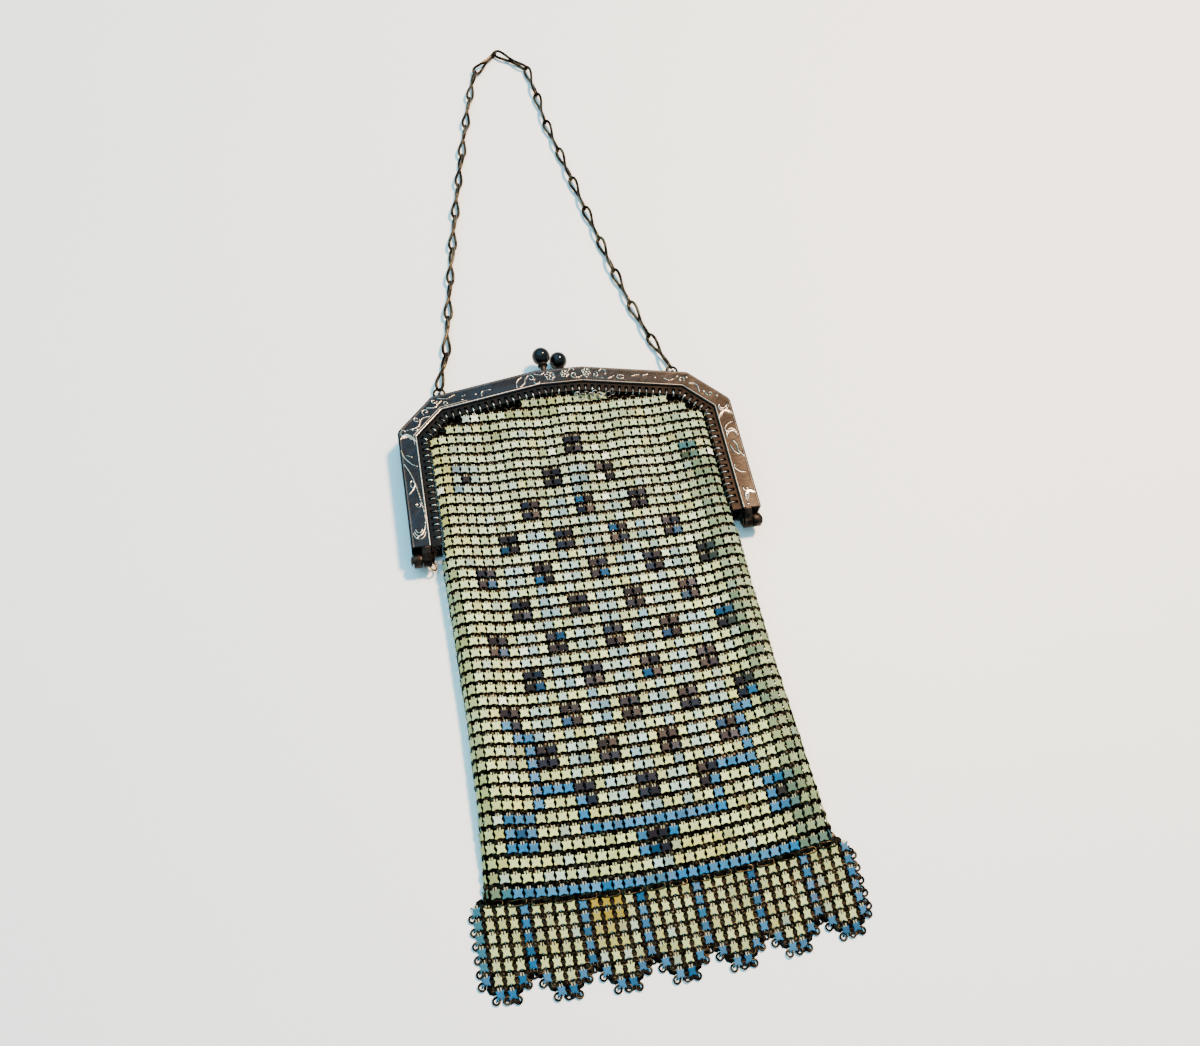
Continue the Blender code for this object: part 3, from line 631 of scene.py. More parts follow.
def enamel(kind, height):
    """Worn and stained colour of one plate. Height runs from 0 at the seam to 1."""
    high = smoothstep(0.10, 0.80, height)
    pick = random.random()
    if kind == "cream":
        tone = CREAM.lerp(MINT, 0.30 + 0.60 * high)
        tone = tone.lerp(CHALK, 0.40 * random.random() * (0.4 + 0.6 * high))
        if pick < 0.07:
            tone = tone.lerp(PALE_BLUE, 0.45)
        elif pick < 0.13:
            tone = tone.lerp(OLIVE, 0.35)
        elif pick < 0.18:
            tone = tone.lerp(STRAW, 0.45)
    elif kind == "sky":
        tone = SKY.lerp(PALE_BLUE, 0.20 * random.random() + 0.15 * high)
    elif kind == "pale":
        tone = PALE_BLUE.lerp(MINT, 0.25 + 0.45 * random.random())
        if pick < 0.20 and height < 0.8:
            tone = tone.lerp(SKY, 0.45)
    elif kind == "teal":
        tone = TEAL.lerp(SKY, 0.5 * random.random())
    else:
        tone = NIGHT.lerp(SKY, 0.10 * random.random()**2)
        if pick < 0.12:
            tone = NIGHT.lerp(SKY, 0.40)
    # Darker towards the top of the pouch.
    tone = tone * (1.08 - 0.25 * smoothstep(0.55, 0.80, height))
    return tone * (1.06 - 0.46 * random.random()**1.5)


def painted_light_and_tints(tone, column, row):
    """Painted light and shade on the body's front, by place on the chart: painted shade under the
    frame, on the fold and on the side walls, painted light on the left slope, painted glare on a
    few plates, and a straw-coloured patch low in the middle.
    """
    pick = random.random()
    # Painted light: a warm straw glow on the lit slope of the left columns.
    if column <= 3 and 3 <= row <= 15:
        tone = tone.lerp(STRAW, 0.75 * smoothstep(4.0, 0.5, column) * (0.5 + 0.5 * pick))
    # Painted shade under the frame: the top left corner and the first rows under the top bar.
    if column <= 4 and row <= 3:
        tone = tone.lerp(OLIVE, 0.45)
    if row == 1 and 10 <= column <= 24 or row == 2 and 10 <= column <= 15:
        tone = tone.lerp(OLIVE, 0.45 + 0.3 * pick)
    # Painted shade on the fold's slope that faces away from the key.
    fold = math.exp(-((column - 30 - 0.04 * (row - 18)) / 1.1)**2)
    if row > 3:
        tone = tone.lerp(FOLD_SHADE_GREEN, 0.75 * fold * (0.35 + 0.65 * pick))
    # Painted shade on the unlit side walls, olive on the left and green on the right.
    if column <= 1 and row > 16:
        tone = tone.lerp(OLIVE, 0.30 + 0.3 * pick)
    if column >= 30 and row > 8:
        tone = tone.lerp(FOLD_SHADE_GREEN, 0.45 + 0.40 * pick)
    if row in (40, 41) and 18 <= column <= 22:
        tone = tone.lerp(STRAW, 0.5)
    # Painted glare: a few plates made nearly white and brighter.
    if pick > 0.985 and row < 30:
        tone = tone.lerp(CHALK, 0.9) * 1.1
    return tone


# Materials

class Nodes:
    """A node tree, with short ways to add nodes and to link or set their inputs."""

    def __init__(self, tree):
        self.tree = tree

    def feed(self, made, inputs):
        """Links each input to a socket, or sets it to a number or a colour."""
        for name, value in inputs.items():
            socket = name if isinstance(name, bpy.types.NodeSocket) else made.inputs[name]
            if isinstance(value, bpy.types.NodeSocket):
                self.tree.links.new(value, socket)
            elif isinstance(value, (int, float)):
                socket.default_value = value
            else:
                socket.default_value = (*value, 1.0)

    def add(self, kind, inputs=None, **settings):
        made = self.tree.nodes.new(kind)
        for key, value in settings.items():
            setattr(made, key, value)
        self.feed(made, inputs or {})
        return made

    def attribute(self, name, output="Fac"):
        return self.add("ShaderNodeAttribute", attribute_name=name).outputs[output]

    def mottling(self, scale, low, high):
        return self.add("ShaderNodeGroup", {"Scale": scale, "Low": low, "High": high},
                        node_tree=MOTTLING).outputs["Mask"]

    def mix(self, factor, first, second, blend="MIX"):
        made = self.add("ShaderNodeMix", data_type="RGBA", blend_type=blend)
        colours = [s for s in made.inputs if s.type == "RGBA"]
        self.feed(made, {"Factor": factor, colours[0]: first, colours[1]: second})
        return [s for s in made.outputs if s.type == "RGBA"][0]

    def spread(self, value, to_low, to_high, low=0.0, high=1.0):
        return self.add("ShaderNodeMapRange", {
            "Value": value, "From Min": low, "From Max": high,
            "To Min": to_low, "To Max": to_high}).outputs["Result"]

    def bump(self, height, strength, distance, under=None):
        made = self.add("ShaderNodeBump", {"Height": height, "Strength": strength,
                                           "Distance": distance})
        if under:
            self.feed(made, {"Normal": under})
        return made.outputs["Normal"]


def mottling_group():
    """Noise in object space, given as a mask from 0 to 1."""
    tree = bpy.data.node_groups.new("mottling", "ShaderNodeTree")
    for name, value in (("Scale", 400.0), ("Low", 0.4), ("High", 0.65)):
        tree.interface.new_socket(name=name, in_out="INPUT",
                                  socket_type="NodeSocketFloat").default_value = value
    tree.interface.new_socket(name="Mask", in_out="OUTPUT", socket_type="NodeSocketFloat")
    nodes = Nodes(tree)
    enter = nodes.add("NodeGroupInput").outputs
    place = nodes.add("ShaderNodeTexCoord").outputs["Object"]
    noise = nodes.add("ShaderNodeTexNoise", {"Vector": place, "Scale": enter["Scale"],
                                             "Detail": 5.0, "Roughness": 0.6}).outputs["Fac"]
    mask = nodes.add("ShaderNodeMapRange", {"Value": noise, "From Min": enter["Low"],
                                            "From Max": enter["High"]}).outputs["Result"]
    nodes.add("NodeGroupOutput", {"Mask": mask})
    return tree


MOTTLING = mottling_group()


def new_material(name, look, *tones):
    """A material whose shader has the inputs that its look works out."""
    material = bpy.data.materials.new(name)
    material.use_nodes = True
    nodes = Nodes(material.node_tree)
    nodes.feed(nodes.tree.nodes["Principled BSDF"], look(nodes, *tones))
    return material


def enamel_look(nodes):
    """Satin enamel chipped to dark metal on the arms, edges and undersides."""
    bare = nodes.attribute("bare")
    stain = nodes.spread(nodes.mottling(130.0, 0.48, 0.72), 0, 0.60)
    stained = nodes.mix(stain, nodes.attribute("enamel", "Color"), (0.80, 0.72, 0.45), "MULTIPLY")
    chips = nodes.spread(nodes.mottling(1700.0, 0.58, 0.70), 0, 0.6)
    worn = nodes.add("ShaderNodeMath", {0: nodes.spread(bare, 0.0, 1.0, 0.05, 0.35), 1: chips},
                     operation="MAXIMUM").outputs["Value"]
    return {"Specular IOR Level": 0.06,
            "Base Color": nodes.mix(worn, stained, (0.008, 0.006, 0.0045)),
            "Metallic": nodes.spread(bare, 0.0, 0.9),
            "Roughness": nodes.spread(worn, 0.36, 0.50),
            "Normal": nodes.bump(nodes.mottling(900.0, 0.3, 0.7), 0.15, 0.0001)}


def wire_look(nodes, dark, light, roughness, scale=250.0):
    """Tarnished metal wire, mottled between a dark and a light tone."""
    mask = nodes.mottling(scale, 0.46, 0.60)
    return {"Metallic": 1.0, "Base Color": nodes.mix(mask, dark, light),
            "Roughness": nodes.spread(mask, roughness + 0.12, roughness)}


def frame_look(nodes, cool, warm, shine):
    """Silver plate gone dark in the hollows, bright on the relief, with a painted reflection:
    bluer to the left as from the cool fill, browner to the right as from the warm key.
    """
    place = nodes.add("ShaderNodeTexCoord").outputs["Object"]
    x = nodes.add("ShaderNodeSeparateXYZ", {"Vector": place}).outputs["X"]
    cloud = nodes.mottling(150.0, 0.40, 0.66)
    fine = nodes.mottling(900.0, 0.35, 0.70)
    # Painted reflection: cool ground on the left, warm ground on the right.
    ground = nodes.mix(nodes.spread(x, 0.0, 1.0, -0.01, 0.05), cool, warm)
    ground = nodes.mix(nodes.spread(cloud, 0, 0.80), ground, (0.012, 0.009, 0.007))
    ground = nodes.mix(nodes.spread(fine, 0, 0.30), ground, (0.008, 0.006, 0.005))
    lift = nodes.spread(nodes.attribute("raised"), 0.0, 1.0, 0.30, 0.95)
    waves = nodes.bump(nodes.mottling(75.0, 0.2, 0.8), 0.5, 0.0005)
    return {"Metallic": 1.0, "Base Color": nodes.mix(lift, ground, shine),
            "Roughness": nodes.spread(lift, 0.42, 0.26),
            "Normal": nodes.bump(fine, 0.25, 0.0001, waves)}


def ball_look(nodes):
    mask = nodes.mottling(500.0, 0.45, 0.75)
    return {"Specular IOR Level": 0.20, "Roughness": nodes.spread(mask, 0.10, 0.18),
            "Base Color": nodes.mix(mask, (0.0015, 0.0015, 0.002), (0.006, 0.006, 0.007))}


def table_look(nodes):
    mask = nodes.mottling(6.0, 0.35, 0.65)
    return {"Roughness": 0.55,
            "Base Color": nodes.mix(mask, (0.84, 0.84, 0.835), (0.86, 0.857, 0.85))}


ENAMEL = new_material("enamelled_plate", enamel_look)
RING_METAL = new_material("ring_wire", wire_look, (0.003, 0.0022, 0.0015),
                          (0.045, 0.036, 0.022), 0.42, 420.0)
LACING_METAL = new_material("lacing_wire", wire_look, (0.10, 0.092, 0.08),
                            (0.60, 0.56, 0.50), 0.28, 420.0)
CHAIN_METAL = new_material("chain_wire", wire_look, (0.008, 0.0055, 0.003),
                           (0.075, 0.055, 0.030), 0.36)
DARK_METAL = new_material("dark_steel", wire_look, (0.008, 0.006, 0.005),
                          (0.035, 0.026, 0.020), 0.44)
# The two ground tones carry a painted reflection, cool on the left and warm on the right.
FRAME_METAL = new_material("stamped_silver", frame_look, (0.013, 0.018, 0.025),
                           (0.0315, 0.0255, 0.0195), (0.55, 0.47, 0.38))
FLANGE_METAL = new_material("flange_silver", frame_look, (0.006, 0.007, 0.008),
                            (0.006, 0.0045, 0.0035), (0.12, 0.10, 0.08))
BRASS = new_material("jump_ring_brass", wire_look, (0.25, 0.15, 0.05),
                     (0.62, 0.44, 0.20), 0.28)
BLACK_BALL = new_material("black_ball", ball_look)


# Mesh of the pouch and skirt

PLATE = plate_pattern(BODY_PLATE)
BACK_PLATE = plate_pattern(BODY_PLATE, tongued=False)
STAR = plate_pattern(SKIRT_PLATE, armed=True)
PRONG_SHADE = prong_shade_pattern()
LOOP = loop_pattern(*BODY_RING)
SKIRT_LOOP = loop_pattern(*SKIRT_RING)
OVAL = loop_pattern(*OVAL_RING, OVAL_STRETCH)
ALL_CORNERS = [(x, y) for x in (-0.5, 0.5) for y in (-0.5, 0.5)]


def plate_masks(pattern):
    """Which vertices of a plate are bare metal, and which are its tongues, coloured a light tone
    as a painted metal glint.
    """
    bare, bright = [], []
    for vert in pattern.vertices:
        x, y, z = vert.co / MM
        off_side = abs(abs(x) - TONGUE_PLACE[0]) - TONGUE_SIZE[0] / 2
        off_end = abs(abs(y - TONGUE_PLACE[1]) - TONGUE_SIZE[1] / 2)
        tongue = max(abs(off_side), off_end) < 0.01
        bright.append(tongue)
        bare.append(not tongue and (z < -0.6 * PLATE_SHEET or max(abs(x), abs(y)) > 1.55))
    return np.array(bare, float), np.array(bright)


def add_plates(name, cells, pattern, replaced=()):
    """Plates at their places, each with its own colour."""
    mesh = repeat(name, pattern, [place for place, _ in cells])
    bare, bright = plate_masks(pattern)
    colours = np.repeat([tuple(colour) for _, colour in cells], len(bare), axis=0)
    bright = np.tile(bright, len(cells))
    # Painted glint on the tongues.
    colours[bright] = (1 - TONGUE_GLINT_SHARE) * colours[bright] + TONGUE_GLINT_SHARE * TONGUE_GLINT_TONE
    store_colours(mesh, "enamel", colours)
    store_values(mesh, "bare", np.tile(bare, len(cells)))
    piece(name, mesh, ENAMEL, replaced)


def add_rings(name, places, pattern, material=RING_METAL):
    mesh = repeat(name, pattern, places)
    mesh.shade_smooth()
    piece(name, mesh, material)


def within_frame(x, y):
    """Whether a plate lies inside the mouth's outline, or below the arms."""
    margin = COLUMN_PITCH * EDGE_MARGIN
    return y < ARM_END_Y - 4.0 or (abs(x) <= MOUTH_HALF_WIDTH - margin
                                   and y < mouth_y(x) - margin)


def body_cells():
    """Plates of the front, plates of the back and the rolled sides, and all corners."""
    front, back, corners = [], [], {}
    for row in range(1, BODY_ROWS + 1):
        for index in range(AROUND):
            columns = index - HALF_COLUMNS + 0.5
            if columns > AROUND / 2:
                columns -= AROUND
            from_back = AROUND / 2 - abs(columns)
            flat_x = min(abs(columns), from_back) * COLUMN_PITCH
            y = row_y(min(flat_x, HALF_COLUMNS * COLUMN_PITCH), row)
            on_front = abs(columns) <= HALF_COLUMNS
            on_side = not on_front and from_back > HALF_COLUMNS
            if not within_frame(flat_x, y) or on_side and y > ARM_END_Y - 5.0:
                continue
            here = tube_place(columns, row, PLATE_CROWN, PLATE_TILT)
            chart = columns if on_front else math.copysign(from_back, columns)
            chart = int(round(min(max(chart + HALF_COLUMNS - 0.5, 0), COLUMNS - 1)))
            kind = "cream" if on_side else body_colour(chart, row)
            colour = enamel(kind, (BODY_ROWS - row) / BODY_ROWS)
            if on_front:
                front.append((here, painted_light_and_tints(colour, chart, row)))
            else:
                # Back and side plates are tinted olive; the left side wall more, as painted shade
                # of its unlit face.
                back.append((here, colour.lerp(OLIVE, 0.35 if columns < 0 and on_side else 0.15)))
            for side, step in ALL_CORNERS:
                corners[(columns + side, row + step)] = True
    return front, back, corners


FRONT, BACK, CORNERS = body_cells()
add_plates("front_plates", FRONT, PLATE, ("mesh_bag",))
add_plates("back_plates", BACK, BACK_PLATE)
# Dark prong patches behind the front's rings: partly real prongs, partly painted shade in the
# gaps.
front_rings, back_rings, prongs_and_shade = [], [], []
for columns, row in CORNERS:
    on_front = abs(columns) <= HALF_COLUMNS
    if on_front and row > BODY_ROWS:
        prongs_and_shade.append(tube_place(columns, BODY_ROWS + 0.25, SEAM_PRONG_SHADE_SINK))
        continue
    if on_front:
        prongs_and_shade.append(tube_place(columns, row, PRONG_SHADE_SINK))
    rings = front_rings if on_front else back_rings
    rings.append(tube_place(columns, row, RING_SINK, RING_TILT))
add_rings("front_rings", front_rings, LOOP)
add_rings("back_rings", back_rings, LOOP)
add_rings("front_prongs_and_shade", prongs_and_shade, PRONG_SHADE)


def skirt_place(column, row, sink=0.0, tilt=0.0, facing=1):
    """Place in the skirt; rows count from its first row of plates."""
    x = (column - (COLUMNS - 1) / 2) * SKIRT_PITCH
    top = row_y(x * 0.9, BODY_ROWS) - SKIRT_FIRST_DROP
    z = SKIRT_Z + SKIRT_DROOP * smoothstep(0.0, 2.0, 1.5 - row)
    point = (x + BAG_LEAN + SKIRT_DRIFT * (row - 1) / 6, top - (row - 1) * SKIRT_ROW_PITCH,
             z - sink)
    return placed(point, (facing, 0, 0), (0, 1, 0), (0, 0, facing), tilt)


def skirt_cells():
    """Plates of the front layer and of the back one, which faces the table.

    With them come the corners of both layers, the front's with the plates they join."""
    cells, under = [], []
    corners, under_corners = {}, {}
    for row in range(1, SKIRT_ROWS + 1):
        kept = skirt_columns(row)
        for column in kept:
            colour = enamel(skirt_colour(column, row), 0.0) * SKIRT_DULLING
            if 10 <= column <= 12 and row <= 4:
                stain = random.uniform(0.80, 1.0) * min(1.45 - 0.25 * row, 1.0)
                colour = colour.lerp(OCHRE, stain)
            cells.append((skirt_place(column, row, 0.0, SKIRT_TILT), colour))
            for side, step in ALL_CORNERS:
                spot = (column + side, row + step)
                corners.setdefault(spot, []).append(Vector((column, row)))
        for column in kept:
            if column + 1 not in kept and row <= SKIRT_FULL_ROWS and column < COLUMNS - 1:
                continue
            across, down = (0.5, 0.18) if column + 1 in kept else (0.12, 0.30)
            across, down = column + across, row + down
            colour = enamel(skirt_colour(column, row), 0.0)
            under.append((skirt_place(across, down, UNDER_LAYER, UNDER_TILT, -1), colour))
            for side, step in ALL_CORNERS:
                under_corners[(round(across + side, 1), round(down + step, 1))] = True
    return cells, under, corners, under_corners


SKIRT, SKIRT_UNDER, SKIRT_CORNERS, UNDER_CORNERS = skirt_cells()
add_plates("skirt_plates", SKIRT, STAR, ("skirt",))
add_plates("skirt_back_plates", SKIRT_UNDER, BACK_PLATE)
# Dark prong patches behind the skirt's rings: partly real prongs, partly painted shade in the
# gaps.
skirt_rings, skirt_prongs_and_shade = [], []
for spot, plates in SKIRT_CORNERS.items():
    at_head = spot[1] < 1
    if not at_head:
        middle = sum(plates, Vector((0, 0))) / len(plates)
        pulled = Vector(spot).lerp(middle, EDGE_RING_PULL)
        skirt_rings.append(skirt_place(*pulled, SKIRT_RING_SINK, SKIRT_RING_TILT))
    if len(plates) > 2 or len(plates) == 2 and at_head:
        skirt_prongs_and_shade.append(skirt_place(*spot, HEAD_PRONG_SHADE_SINK if at_head else SKIRT_PRONG_SHADE_SINK))
add_rings("skirt_rings", skirt_rings, SKIRT_LOOP)
add_rings("skirt_back_rings", [skirt_place(*spot, UNDER_LAYER, UNDER_RING_TILT)
                               for spot in UNDER_CORNERS
                               if 0.8 < spot[1] < SKIRT_FULL_ROWS + 1.0], SKIRT_LOOP)
add_rings("skirt_prongs_and_shade", skirt_prongs_and_shade, PRONG_SHADE)
add_rings("divider_rings", [skirt_place(column + 0.5, DIVIDER_ROW, DIVIDER_SINK, SKIRT_TILT)
                            for column in range(1, COLUMNS - 2, 2)], OVAL, CHAIN_METAL)


# Frame halves

FACE_STEP = 0.19
BACK_STEP = 0.32
WALL = 0.55
FACE_ROUND = 0.55
RELIEF_HEIGHT = 0.26
EDGE_SHINE = 0.18


def stations(spacing):
    """Points along the arch: index of the arch's segment and the share along it."""
    middle = arch(FACE_WIDTH / 2)
    marks = []
    for i, (a, b) in enumerate(zip(middle, middle[1:])):
        count = max(int((b - a).length / spacing), 1)
        marks += [i + j / count for j in range(count)]
    marks.append(len(middle) - 1.0)
    return np.array(marks)


def lane_points(inset, marks):
    """Points on the arch at an inset for all stations."""
    points = np.array([tuple(point) for point in arch(inset)])
    index = np.minimum(marks.astype(int), len(points) - 2)
    share = (marks - index)[:, None]
    return points[index] * (1 - share) + points[index + 1] * share


def channel_section(spacing):
    """Closed path round the stamped sheet as (inset, height): outside, then inside."""
    flat = FACE_WIDTH - 2 * FACE_ROUND
    quarter = [math.radians(90 * step / 4) for step in range(5)]
    count = int(flat / spacing)
    outside = [(0.0, CLEARANCE / 2), (0.0, HALF_HEIGHT * 0.5), (0.0, HALF_HEIGHT - FACE_ROUND)]
    outside += [(FACE_ROUND * (1 - math.cos(a)), HALF_HEIGHT - FACE_ROUND * (1 - math.sin(a)))
                for a in quarter[1:]]
    outside += [(FACE_ROUND + flat * step / count, HALF_HEIGHT) for step in range(1, count)]
    outside += [(FACE_WIDTH - FACE_ROUND * (1 - math.sin(a)),
                 HALF_HEIGHT - FACE_ROUND * (1 - math.cos(a))) for a in quarter]
    shelf = HALF_HEIGHT - FLANGE_RECESS - SHEET
    inner, roof = FACE_WIDTH - WALL, HALF_HEIGHT - WALL
    return (outside + [(FACE_WIDTH, shelf), (inner, shelf), (inner, roof), (WALL, roof),
                       (WALL, CLEARANCE / 2)] + outside[:1])


def arc(place, across, radius, start, end, squash=1.0, steps=10):
    """Points of an arc about a place on the face; angles in degrees from along the arch."""
    return [(place + radius * math.cos(a), across + squash * radius * math.sin(a))
            for a in np.radians(np.linspace(start, end, steps))]


def curl(place, across, radius, start, turns, taper=0.75, steps=16):
    """A spiral that closes in on its middle."""
    return [(place + radius * (1 - taper * u) * math.cos(start + math.tau * turns * u),
             across + radius * (1 - taper * u) * math.sin(start + math.tau * turns * u))
            for u in np.linspace(0, 1, steps)]


def curve_point(knots, i, u):
    """A point between knot i and the next, on the smooth curve through them all."""
    before, a, b, after = (knots[min(max(i + k, 0), len(knots) - 1)] for k in (-1, 0, 1, 2))
    return 0.5 * (2 * a + (b - before) * u + (2 * before - 5 * a + 4 * b - after) * u * u
                  + (3 * a - before - 3 * b + after) * u**3)


def swing(knots, steps=6):
    """A smooth line through a few knots."""
    knots = [Vector(knot) for knot in knots]
    last = len(knots) - 2
    return [tuple(curve_point(knots, i, u)) for i in range(last + 1)
            for u in np.linspace(0, 1, steps, endpoint=i == last)]


def flower(place, across, radius):
    """Petals round a bead."""
    parts = [(arc(place, across, 0.16 * radius, 0, 300, steps=6), 0.20)]
    for k in range(6):
        middle = math.tau * (k + 0.25) / 6
        parts.append((arc(place + 0.62 * radius * math.cos(middle),
                          across + 0.62 * radius * math.sin(middle), 0.30 * radius,
                          math.degrees(middle) - 130, math.degrees(middle) + 130, steps=7), 0.15))
    return parts


def nested(place, across, radius, count, start, end, squash=1.0):
    """Arcs inside each other, like the folds of a leaf."""
    return [(arc(place + 0.35 * i, across, radius * (1 - 0.24 * i), start, end, squash), 0.17)
            for i in range(count)]


def left_arm():
    """Strokes of the left arm and shoulder, from the arm's end."""
    return (nested(6.0, 3.2, 3.4, 3, 100, 255, 0.62)
            + [(swing([(3.0, 2.0), (5.5, 4.8), (11.0, 5.7), (18.5, 4.8), (26.0, 3.3),
                       (31.5, 1.0)]), 0.20),
               (curl(15.4, 3.8, 1.2, 0.5, 0.9), 0.18),
               (swing([(24.0, 3.8), (21.5, 3.0), (19.6, 1.4)]), 0.18),
               (arc(23.4, 3.0, 1.4, 0, 340, 0.55), 0.17),
               (swing([(37.0, 0.6), (34.0, 1.4), (31.6, 3.4), (31.0, 5.2)]), 0.20),
               ([(34.8, 2.2), (34.4, 3.8)], 0.18)]
            + nested(40.6, 3.4, 3.0, 4, -70, 75, 0.85)
            + [(curl(44.0, 1.9, 1.3, 2.0, 0.8), 0.18), (curl(46.4, 4.6, 1.0, 4.0, 0.9), 0.17),
               (swing([(45.0, 2.4), (48.0, 4.4), (51.5, 3.4), (54.0, 4.8)]), 0.18),
               (curl(50.4, 2.0, 1.2, 1.0, 0.9), 0.17), (curl(54.6, 2.6, 1.3, 3.0, 0.9), 0.17),
               (swing([(56.0, 2.0), (58.6, 4.2), (61.8, 3.0)]), 0.18),
               (curl(59.6, 2.0, 1.1, 0.6, 0.8), 0.17), (curl(62.8, 4.4, 1.0, 2.4, 0.9), 0.16),
               (swing([(61.0, 1.6), (64.0, 2.6), (67.0, 1.8)]), 0.16),
               ([(69.2, 3.2), (70.4, 3.0)], 0.15), ([(68.4, 4.6), (68.7, 4.6)], 0.22),
               ([(73.8, 3.8), (74.1, 3.8)], 0.20),
               (swing([(75.6, 5.0), (76.6, 3.4), (79.6, 3.4)]), 0.16)])


def right_arm():
    """Strokes of the right arm and shoulder, from the arm's end."""
    return (nested(4.0, 2.6, 2.6, 4, -60, 130, 0.8)
            + [([(1.0, 4.4), (1.3, 4.4)], 0.34),
               (curl(7.2, 3.6, 1.1, 1.0, 0.8), 0.18),
               (swing([(17.6, 5.2), (16.4, 5.6), (14.4, 4.2), (13.6, 2.2)]), 0.20),
               (swing([(27.0, 3.4), (25.0, 2.4), (22.4, 2.4), (20.0, 0.9)]), 0.20),
               (swing([(25.6, 4.8), (22.8, 4.0), (21.0, 2.6)]), 0.17),
               (arc(28.8, 3.2, 2.2, -80, 80, 0.9), 0.22), (arc(29.8, 3.2, 2.2, -80, 80, 0.9), 0.2),
               (swing([(34.6, 1.6), (33.6, 4.6), (31.6, 4.8), (31.0, 2.4)]), 0.19)]
            + nested(37.6, 3.4, 2.6, 3, -80, 80)
            + nested(42.2, 3.2, 2.0, 2, 60, 260)
            + [([(46.8, 2.2), (47.0, 2.2)], 0.34), ([(51.4, 3.6), (51.6, 3.6)], 0.32),
               (curl(49.4, 3.0, 1.4, 0.4, 0.9), 0.17),
               (swing([(52.6, 4.8), (55.0, 2.8), (57.8, 4.0)]), 0.18),
               ([(59.4, 2.4), (59.6, 2.4)], 0.34), (curl(61.2, 3.8, 1.3, 2.6, 0.9), 0.17),
               (swing([(62.6, 2.2), (65.0, 4.4), (67.6, 3.6)]), 0.17),
               ([(70.6, 3.6), (70.9, 3.6)], 0.30), (swing([(73.6, 2.2), (75.4, 3.0)]), 0.2)])


def medallion():
    """Strokes about the middle of the top, from left to right."""
    return ([(swing([(-16.6, 5.4), (-15.8, 3.0), (-13.6, 1.6)]), 0.18),
             (swing([(-15.4, 5.6), (-13.4, 4.4), (-12.6, 2.6)]), 0.17),
             (curl(-10.6, 3.0, 1.6, 3.4, 1.0), 0.18), (arc(-8.8, 4.8, 1.1, 20, 250), 0.16),
             (swing([(-9.0, 1.6), (-7.0, 2.4), (-5.4, 1.4)]), 0.17)]
            + flower(-3.6, 3.2, 2.0) + flower(1.8, 2.8, 1.7)
            + [(curl(5.2, 3.6, 1.5, 0.8, 1.0), 0.18), (arc(4.4, 1.6, 0.9, 180, 350), 0.16),
               (swing([(6.4, 5.2), (8.4, 4.2), (9.8, 5.0)]), 0.16)]
            + flower(9.6, 2.6, 1.7)
            + [(curl(12.8, 3.6, 1.2, 5.0, 0.9), 0.17), (arc(15.4, 2.4, 1.3, 200, 400), 0.17),
               (swing([(14.2, 4.8), (17.6, 5.0), (19.6, 3.6)]), 0.16),
               (arc(22.0, 4.0, 1.4, 30, 330, 0.6), 0.17),
               (swing([(26.0, 3.4), (28.6, 2.6)]), 0.20)])


def relief_strokes():
    """All strokes: points along and across the face, and half the width of the line."""
    total = arch_length(FACE_WIDTH / 2)
    made = left_arm()
    made += [([(total - s, t) for s, t in points], width) for points, width in right_arm()]
    made += [([(total / 2 + s, t) for s, t in points], width) for points, width in medallion()]
    return made


def relief_heights(along, across):
    """Height of the ornament over the face at many places."""
    heights = np.zeros(len(along))
    for points, width in relief_strokes():
        points = np.array(points)
        reach = 1.6 * width
        low, high = points.min(0) - reach, points.max(0) + reach
        near = np.nonzero((along > low[0]) & (along < high[0])
                          & (across > low[1]) & (across < high[1]))[0]
        if not len(near):
            continue
        spots = np.stack([along[near], across[near]], 1)
        best = np.full(len(near), 9.0)
        for a, b in zip(points, points[1:]):
            step = b - a
            u = np.clip(((spots - a) @ step) / max(step @ step, 1e-9), 0, 1)
            best = np.minimum(best, np.hypot(*(spots - a - u[:, None] * step).T))
        shape = np.clip(1 - best / reach, 0, 1)
        shape = shape * shape * (3 - 2 * shape)
        heights[near] = np.maximum(heights[near], RELIEF_HEIGHT * shape)
    return heights


def border_heights(along, across):
    """Rims along the face: a bright inner one, a faint outer one, a second on the corner."""
    total = arch_length(FACE_WIDTH / 2)
    gain = np.interp(along, [0, 84, 100, total], [1.1, 1.1, 0.60, 0.75])
    corner = ((along > 40) & (along < 70)) * 0.8
    return RELIEF_HEIGHT * (gain * np.exp(-((across - 6.15) / 0.17)**2)
                            + 0.45 * np.exp(-((across - 0.75) / 0.15)**2)
                            + corner * np.exp(-((across - 5.35) / 0.13)**2))


